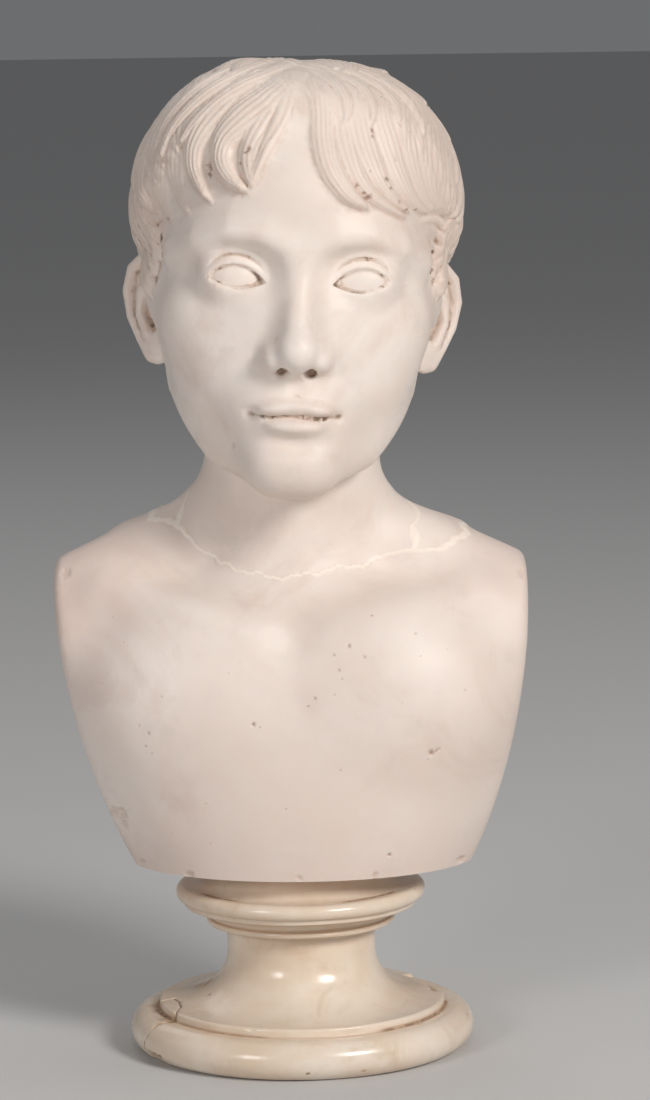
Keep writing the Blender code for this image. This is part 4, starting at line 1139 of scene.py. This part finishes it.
# Stains of the socle: angle off the front, radius, height, size and strength
STAINS = (
    (-61, 0.079, 0.0212, 0.006, 1.0), (-66, 0.08, 0.0212, 0.007, 0.6),
    (-62, 0.086, 0.0205, 0.004, 0.6), (-80, 0.079, 0.0212, 0.006, 0.6), (-90, 0.08, 0.021, 0.008, 0.5),
    (-67.5, 0.053, 0.0305, 0.0024, 1.0), (-70, 0.0545, 0.0296, 0.0018, 0.9),
    (-92, 0.051, 0.032, 0.009, 0.6), (-100, 0.056, 0.029, 0.008, 0.6), (104, 0.074, 0.025, 0.006, 0.5),
    (124, 0.0735, 0.0255, 0.005, 0.7), (200, 0.0785, 0.021, 0.006, 0.6),
    (-11, 0.0656, 0.0262, 0.0014, 0.9), (-23, 0.0924, 0.0121, 0.0015, 0.9),
    (2, 0.0914, 0.0053, 0.0017, 1.0), (21, 0.0911, 0.0047, 0.0017, 1.0),
    (80, 0.0898, 0.0169, 0.0022, 0.8), (45, 0.09, 0.006, 0.0014, 0.6),
    (-62, 0.0918, 0.0045, 0.004, 0.7), (51, 0.08, 0.0212, 0.004, 0.6),
    (-38, 0.08, 0.0212, 0.0035, 0.5),
)
# Nicks of the socle's edges: angle off the front, radius, height and size
NICKS = (
    (31, 0.0925, 0.0120, 0.0022), (-20, 0.0770, 0.0250, 0.0020), (75, 0.0673, 0.0830, 0.0024),
    (168, 0.0770, 0.0250, 0.0040), (-150, 0.0673, 0.0850, 0.0030), (58, 0.0770, 0.0252, 0.0016),
)
# Brown streaks that lie round the socle: first and last angle, radius, height, width and strength
STREAKS = (
    (-64, -28, 0.0606, 0.0886, 0.0016, 0.9), (-72, -22, 0.064, 0.0872, 0.0012, 0.7),
    (18, 62, 0.06, 0.0887, 0.0016, 0.9), (40, 70, 0.0645, 0.0868, 0.0012, 0.6),
    (110, 160, 0.0606, 0.0886, 0.0014, 0.7), (-160, -120, 0.064, 0.0872, 0.0014, 0.6),
    (28, 96, 0.0777, 0.0212, 0.0016, 0.8), (-62, -8, 0.0777, 0.0212, 0.0014, 0.6),
    (-110, -58, 0.0777, 0.0212, 0.002, 0.9), (-30, 40, 0.0777, 0.0212, 0.001, 0.4),
    (-80, 80, 0.064, 0.0808, 0.001, 0.5), (-80, 80, 0.05, 0.0712, 0.0012, 0.5),
    (-60, 20, 0.051, 0.0675, 0.001, 0.4),
)


def socle_wear(points, angle, radius):
    """How far the surface is worn in at each point, and the values for cracks and stains."""
    height = points[:, 2]
    crack = np.zeros(len(points))
    for path in CRACKS:
        crack = np.maximum(crack, near_path(points, [around(*place) for place in path], 0.0010))
    stain = np.zeros(len(points))
    for degrees, at_radius, at_height, size, strength in STAINS:
        away = np.linalg.norm(points - around(degrees, at_radius, at_height), axis=1)
        stain = np.maximum(stain, strength * ramp(1 - away / size))
    for first, last, at_radius, at_height, width, strength in STREAKS:
        away = np.hypot(radius - at_radius, height - at_height)
        along = ramp((angle - first) / 8) * ramp((last - angle) / 8)
        stain = np.maximum(stain, strength * ramp(1.3 - away / width) * along)
    wobble = 0.00016 * (np.sin(np.radians(angle) * 3 + 1) + np.sin(np.radians(angle) * 7) * 0.5)
    jag = 0.5 * np.sin(angle * 1.9) + 0.3 * np.sin(angle * 4.3 + 1) + 0.2 * np.sin(angle * 9.1)
    ledge_top = FOOT_HEIGHT + LEDGE_HEIGHT
    on_ledge = ramp((height - FOOT_HEIGHT - 0.0012) / 0.001) * ramp((ledge_top + 0.0012 - height) / 0.0008)
    broken = ramp((angle - 93 - jag) / 1.5) * ramp((127 + jag - angle) / 1.5) * on_ledge
    shard = broken * ramp((radius - LEDGE_RADIUS + 0.0068 + 0.0012 * jag) / 0.0015)
    notch = (ramp((angle + 67 + jag) / 2) * ramp((-54 + jag - angle) / 2)
             * ramp((0.0065 + 0.001 * jag - height) / 0.0015) * ramp((radius - 0.085) / 0.002))
    small = np.zeros(len(points))
    for degrees, at_radius, at_height, size in NICKS:
        away = np.linalg.norm(points - around(degrees, at_radius, at_height), axis=1)
        small = np.maximum(small, ramp(1 - away / size))
    inward = 0.0009 * crack + 0.0028 * notch + 0.0009 * small + wobble
    downward = 0.0032 * shard
    return inward, downward, np.maximum(crack, 0.6 * notch), np.maximum(stain, 0.5 * shard)


def make_fine_socle():
    profile = evenly(socle_profile(), PROFILE_STEP)
    n = len(profile)
    turns = np.concatenate([np.arange(first, last - 0.2 * step, step) for first, last, step in SOCLE_TURNS])
    sides = len(turns)
    angle = np.repeat(turns, n)
    radius = np.tile(profile[:, 0], sides)
    height = np.tile(profile[:, 1], sides)
    turn = np.radians(angle - 90)
    points = np.stack((radius * np.cos(turn), radius * np.sin(turn), height), axis=1)
    tangent = np.gradient(profile, axis=0)
    across = np.stack((tangent[:, 1], -tangent[:, 0]), axis=1)
    across = np.tile(across / np.linalg.norm(across, axis=1, keepdims=True), (sides, 1))
    inward, downward, crack, stain = socle_wear(points, angle, radius)
    edge_of_seat = ramp((profile[-1, 1] - height) / 0.003) * ramp((height - 0.0003) / 0.001)
    inward = inward * edge_of_seat
    radius = radius - inward * across[:, 0]
    height = height - inward * across[:, 1] - downward
    points = np.stack((radius * np.cos(turn), radius * np.sin(turn), np.maximum(height, 0)), axis=1)
    faces = []
    for k in range(sides):
        here = k * n
        there = ((k + 1) % sides) * n
        faces += [(here + i, there + i, there + i + 1, here + i + 1) for i in range(n - 1)]
    underside = [k * n for k in range(sides)]
    seat = [k * n + n - 1 for k in range(sides)]
    mesh = bpy.data.meshes.new("marble_socle")
    mesh.from_pydata(points.tolist(), [], faces + [tuple(underside[::-1]), tuple(seat)])
    add_values(mesh, "crack", crack)
    add_values(mesh, "stain", stain)
    mesh.shade_smooth()
    for edge in mesh.edges:
        a, b = edge.vertices
        if a % n == b % n and a % n in (0, n - 1):
            edge.use_edge_sharp = True
    obj = bpy.data.objects.new("marble_socle", mesh)
    bpy.context.scene.collection.objects.link(obj)
    return obj


# Materials


class Nodes:
    """Short calls for building a material's nodes."""

    def __init__(self, name):
        self.material = bpy.data.materials.new(name)
        self.material.use_nodes = True
        self.tree = self.material.node_tree
        self.shader = self.tree.nodes["Principled BSDF"]
        self.place = self.add("ShaderNodeTexCoord").outputs["Object"]

    def add(self, kind, **values):
        node = self.tree.nodes.new(kind)
        for key, value in values.items():
            setattr(node, key, value)
        return node

    def put(self, socket, value):
        if isinstance(value, bpy.types.NodeSocket):
            self.tree.links.new(value, socket)
        else:
            socket.default_value = value

    def noise(self, scale, detail=4, rough=0.55, distortion=0.0):
        node = self.add("ShaderNodeTexNoise")
        self.put(node.inputs["Vector"], self.place)
        node.inputs["Scale"].default_value = scale
        node.inputs["Detail"].default_value = detail
        node.inputs["Roughness"].default_value = rough
        node.inputs["Distortion"].default_value = distortion
        return node.outputs["Fac"]

    def math(self, operation, a, b=0.0):
        node = self.add("ShaderNodeMath", operation=operation)
        self.put(node.inputs[0], a)
        self.put(node.inputs[1], b)
        return node.outputs[0]

    def span(self, value, low, high):
        """The value's place between low and high, from 0 to 1, eased."""
        node = self.add("ShaderNodeMapRange", interpolation_type="SMOOTHSTEP")
        self.put(node.inputs["Value"], value)
        node.inputs["From Min"].default_value = low
        node.inputs["From Max"].default_value = high
        return node.outputs["Result"]

    def mix(self, amount, a, b):
        node = self.add("ShaderNodeMix", data_type="RGBA")
        self.put(node.inputs["Factor"], amount)
        self.put(node.inputs["A"], a if isinstance(a, bpy.types.NodeSocket) else (*a, 1))
        self.put(node.inputs["B"], b if isinstance(b, bpy.types.NodeSocket) else (*b, 1))
        return node.outputs["Result"]

    def tint(self, colour, amount, strength, other):
        """The colour drawn towards the other by an amount times a strength."""
        return self.mix(self.math("MULTIPLY", amount, strength), colour, other)

    def value(self, name):
        return self.add("ShaderNodeAttribute", attribute_name=name).outputs["Fac"]

    def bump(self, height, strength, distance, under=None):
        node = self.add("ShaderNodeBump")
        node.inputs["Strength"].default_value = strength
        node.inputs["Distance"].default_value = distance
        self.put(node.inputs["Height"], height)
        if under is not None:
            self.put(node.inputs["Normal"], under)
        return node.outputs["Normal"]


CREAM = (0.80, 0.68, 0.60)
PALE = (0.87, 0.78, 0.71)
PINK_GREY = (0.68, 0.53, 0.46)
GREY = (0.64, 0.56, 0.50)
HAIR_TONE = (0.74, 0.60, 0.51)
GROOVE_BROWN = (0.42, 0.28, 0.19)
SOFT_BROWN = (0.60, 0.42, 0.31)
DIRT = (0.13, 0.07, 0.035)
SPOT_BROWN = (0.24, 0.115, 0.06)
RUST = (0.40, 0.20, 0.11)
FILL_CREAM = (0.91, 0.81, 0.71)
PALE_AND_PAINTED_HIGHLIGHT = (0.92, 0.82, 0.75)
SOCLE_YELLOW = (0.74, 0.59, 0.45)
SOCLE_PALE = (0.86, 0.77, 0.66)
SOCLE_OCHRE = (0.58, 0.42, 0.28)
SOCLE_WARM = (0.80, 0.58, 0.42)
STAIN_BROWN = (0.48, 0.29, 0.16)
STAIN_DEEP = (0.20, 0.10, 0.045)
CRACK_BROWN = (0.24, 0.12, 0.06)


def bust_material():
    n = Nodes("bust_marble")
    colour = n.mix(n.span(n.noise(9, 5, 0.6), 0.36, 0.66), CREAM, PALE)
    colour = n.tint(colour, n.span(n.noise(13, 6, 0.65, 0.6), 0.50, 0.70), 0.55, PINK_GREY)
    colour = n.tint(colour, n.span(n.noise(42, 5, 0.6, 0.3), 0.56, 0.74), 0.30, GREY)
    colour = n.tint(colour, n.value("hair"), 0.5, HAIR_TONE)
    # Darker below the chin, at the shoulders and towards the bottom of the chest
    colour = n.tint(colour, n.value("darker_below_head"), 0.6, PINK_GREY)
    # Paler and darker parts of the chest, with painted highlights on its crests and painted shade in the pit
    # of the throat
    mottled = n.math("ADD", n.math("MULTIPLY", n.noise(26, 4, 0.6), 0.8), 0.5)
    tone_and_painted_light = n.math("MULTIPLY", n.value("tone_and_painted_light"), mottled)
    colour = n.tint(colour, n.span(tone_and_painted_light, 0.0, 1.0), 0.55, PALE_AND_PAINTED_HIGHLIGHT)
    colour = n.tint(colour, n.span(tone_and_painted_light, 0.0, -1.0), 0.55, PINK_GREY)
    colour = n.tint(colour, n.value("groove"), 0.16, GROOVE_BROWN)
    hollow = n.value("hollow")
    bare = n.value("dirty")
    colour = n.tint(colour, n.span(hollow, 0.10, 0.75), n.math("MULTIPLY", bare, 0.55), GROOVE_BROWN)
    colour = n.tint(colour, n.span(hollow, 0.15, 0.9), 0.35, SOFT_BROWN)
    patchy = n.math("MULTIPLY", n.span(n.noise(170, 4, 0.7), 0.42, 0.60), bare)
    colour = n.tint(colour, n.span(hollow, 0.32, 0.9), n.math("MULTIPLY", patchy, 0.85), DIRT)
    ragged = n.math("MULTIPLY", n.value("spot"), n.span(n.noise(420, 3, 0.6), 0.26, 0.50))
    colour = n.tint(colour, ragged, 0.75, SPOT_BROWN)
    specks = n.math("MULTIPLY", n.span(n.noise(330, 2, 0.5), 0.74, 0.80), n.span(n.noise(14, 3), 0.5, 0.62))
    colour = n.tint(colour, specks, 0.7, RUST)
    colour = n.tint(colour, n.value("fill"), 0.85, FILL_CREAM)
    colour = n.tint(colour, n.value("pit"), 0.14, GROOVE_BROWN)
    rough = n.span(n.noise(60, 4), 0.2, 0.9)
    n.put(n.shader.inputs["Base Color"], colour)
    n.put(n.shader.inputs["Roughness"], n.math("ADD", n.math("MULTIPLY", rough, 0.12), 0.45))
    grain = n.bump(n.noise(900, 3), 0.10, 0.0004)
    n.put(n.shader.inputs["Normal"], n.bump(n.noise(55, 4), 0.10, 0.002, grain))
    n.shader.inputs["Subsurface Weight"].default_value = 0.15
    n.shader.inputs["Subsurface Radius"].default_value = (1.0, 0.6, 0.4)
    n.shader.inputs["Subsurface Scale"].default_value = 0.005
    n.shader.inputs["IOR"].default_value = 1.45
    return n.material


def socle_material():
    n = Nodes("socle_marble")
    colour = n.mix(n.span(n.noise(11, 5, 0.6), 0.36, 0.66), SOCLE_YELLOW, SOCLE_PALE)
    colour = n.tint(colour, n.span(n.noise(30, 6, 0.7, 0.8), 0.52, 0.75), 0.5, SOCLE_OCHRE)
    colour = n.tint(colour, n.span(n.noise(16, 3, 0.5, 0.4), 0.42, 0.66), 0.35, SOCLE_WARM)
    crack = n.value("crack")
    stain = n.value("stain")
    colour = n.tint(colour, n.span(stain, 0.02, 0.6), 0.7, STAIN_BROWN)
    deep = n.math("MULTIPLY", n.span(stain, 0.35, 0.9), n.span(n.noise(260, 4), 0.36, 0.6))
    colour = n.tint(colour, deep, 0.7, STAIN_DEEP)
    colour = n.tint(colour, n.span(crack, 0.2, 0.8), 0.85, CRACK_BROWN)
    n.put(n.shader.inputs["Base Color"], colour)
    rough = n.math("ADD", n.math("MULTIPLY", n.noise(50, 4), 0.14), 0.16)
    n.put(n.shader.inputs["Roughness"], n.math("ADD", rough, n.math("MULTIPLY", stain, 0.3)))
    n.put(n.shader.inputs["Normal"], n.bump(n.noise(90, 4), 0.08, 0.002))
    n.shader.inputs["Subsurface Weight"].default_value = 0.10
    n.shader.inputs["Subsurface Radius"].default_value = (1.0, 0.6, 0.35)
    n.shader.inputs["Subsurface Scale"].default_value = 0.006
    return n.material


# Stage

FLOOR_RADIUS = 40.0
FLOOR_SIDES = 64
FLOOR_COLOUR = (0.62, 0.61, 0.60)
WORLD_COLOUR = (0.75, 0.77, 0.80)
WORLD_STRENGTH = 0.20
LENS = 135.94
SENSOR = 36
CAMERA_PLACE = (0.0159, -2.2, 0.56)
CAMERA_PITCH = math.radians(90 - 7.55)
CAMERA_ROLL = math.radians(-0.8)
# Area lights: name, place, what they point at, size, power and colour
LIGHTS = (
    ("key", (1.70, -2.05, 1.68), (0, 0, 0.36), (0.8, 0.8), 61, (1.0, 0.98, 0.96)),
    ("fill", (-1.45, -2.1, 0.95), (0, 0, 0.3), (0.6, 0.6), 17, (0.99, 0.99, 1.0)),
    ("top", (0.1, 0.5, 2.6), (0, 0, 0.4), (1.4, 1.4), 9, (1.0, 0.99, 0.98)),
    ("back", (-1.2, 2.4, 2.4), (0, 0, 0.3), (1.6, 1.6), 7, (1.0, 0.99, 0.98)),
)


def add_camera():
    data = bpy.data.cameras.new("camera")
    data.lens = LENS
    data.sensor_width = SENSOR
    camera = bpy.data.objects.new("camera", data)
    bpy.context.scene.collection.objects.link(camera)
    camera.location = CAMERA_PLACE
    tilt = Matrix.Rotation(CAMERA_PITCH, 3, "X") @ Matrix.Rotation(CAMERA_ROLL, 3, "Z")
    camera.rotation_euler = tilt.to_euler()
    bpy.context.scene.camera = camera


def add_light(name, place, aim, size, power, colour):
    data = bpy.data.lights.new(name, "AREA")
    data.shape = "RECTANGLE"
    data.size, data.size_y = size
    data.energy = power
    data.color = colour
    light = bpy.data.objects.new(name, data)
    bpy.context.scene.collection.objects.link(light)
    light.location = place
    light.rotation_euler = (Vector(aim) - Vector(place)).to_track_quat("-Z", "Y").to_euler()


def add_floor():
    """A plain pale floor, the same on all sides."""
    turns = [2 * math.pi * k / FLOOR_SIDES for k in range(FLOOR_SIDES)]
    places = [(FLOOR_RADIUS * math.cos(a), FLOOR_RADIUS * math.sin(a), 0) for a in turns]
    mesh = bpy.data.meshes.new("studio_floor")
    mesh.from_pydata(places, [], [range(FLOOR_SIDES)])
    floor = bpy.data.objects.new("studio_floor", mesh)
    bpy.context.scene.collection.objects.link(floor)
    material = bpy.data.materials.new("studio_paper")
    material.use_nodes = True
    shader = material.node_tree.nodes["Principled BSDF"]
    shader.inputs["Base Color"].default_value = (*FLOOR_COLOUR, 1)
    shader.inputs["Roughness"].default_value = 0.85
    mesh.materials.append(material)


def add_studio():
    add_camera()
    add_floor()
    for light in LIGHTS:
        add_light(*light)
    world = bpy.data.worlds.new("studio")
    bpy.context.scene.world = world
    world.use_nodes = True
    background = world.node_tree.nodes["Background"]
    background.inputs["Color"].default_value = (*WORLD_COLOUR, 1)
    background.inputs["Strength"].default_value = WORLD_STRENGTH
    bpy.context.scene.view_settings.view_transform = "Standard"


def main():
    bust_piece = make_fine_bust()
    bust_piece.data.materials.append(bust_material())
    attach(bust_piece, "root")
    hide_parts("bust")
    socle_piece = make_fine_socle()
    socle_piece.data.materials.append(socle_material())
    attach(socle_piece, "root")
    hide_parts("socle")
    add_studio()


main()
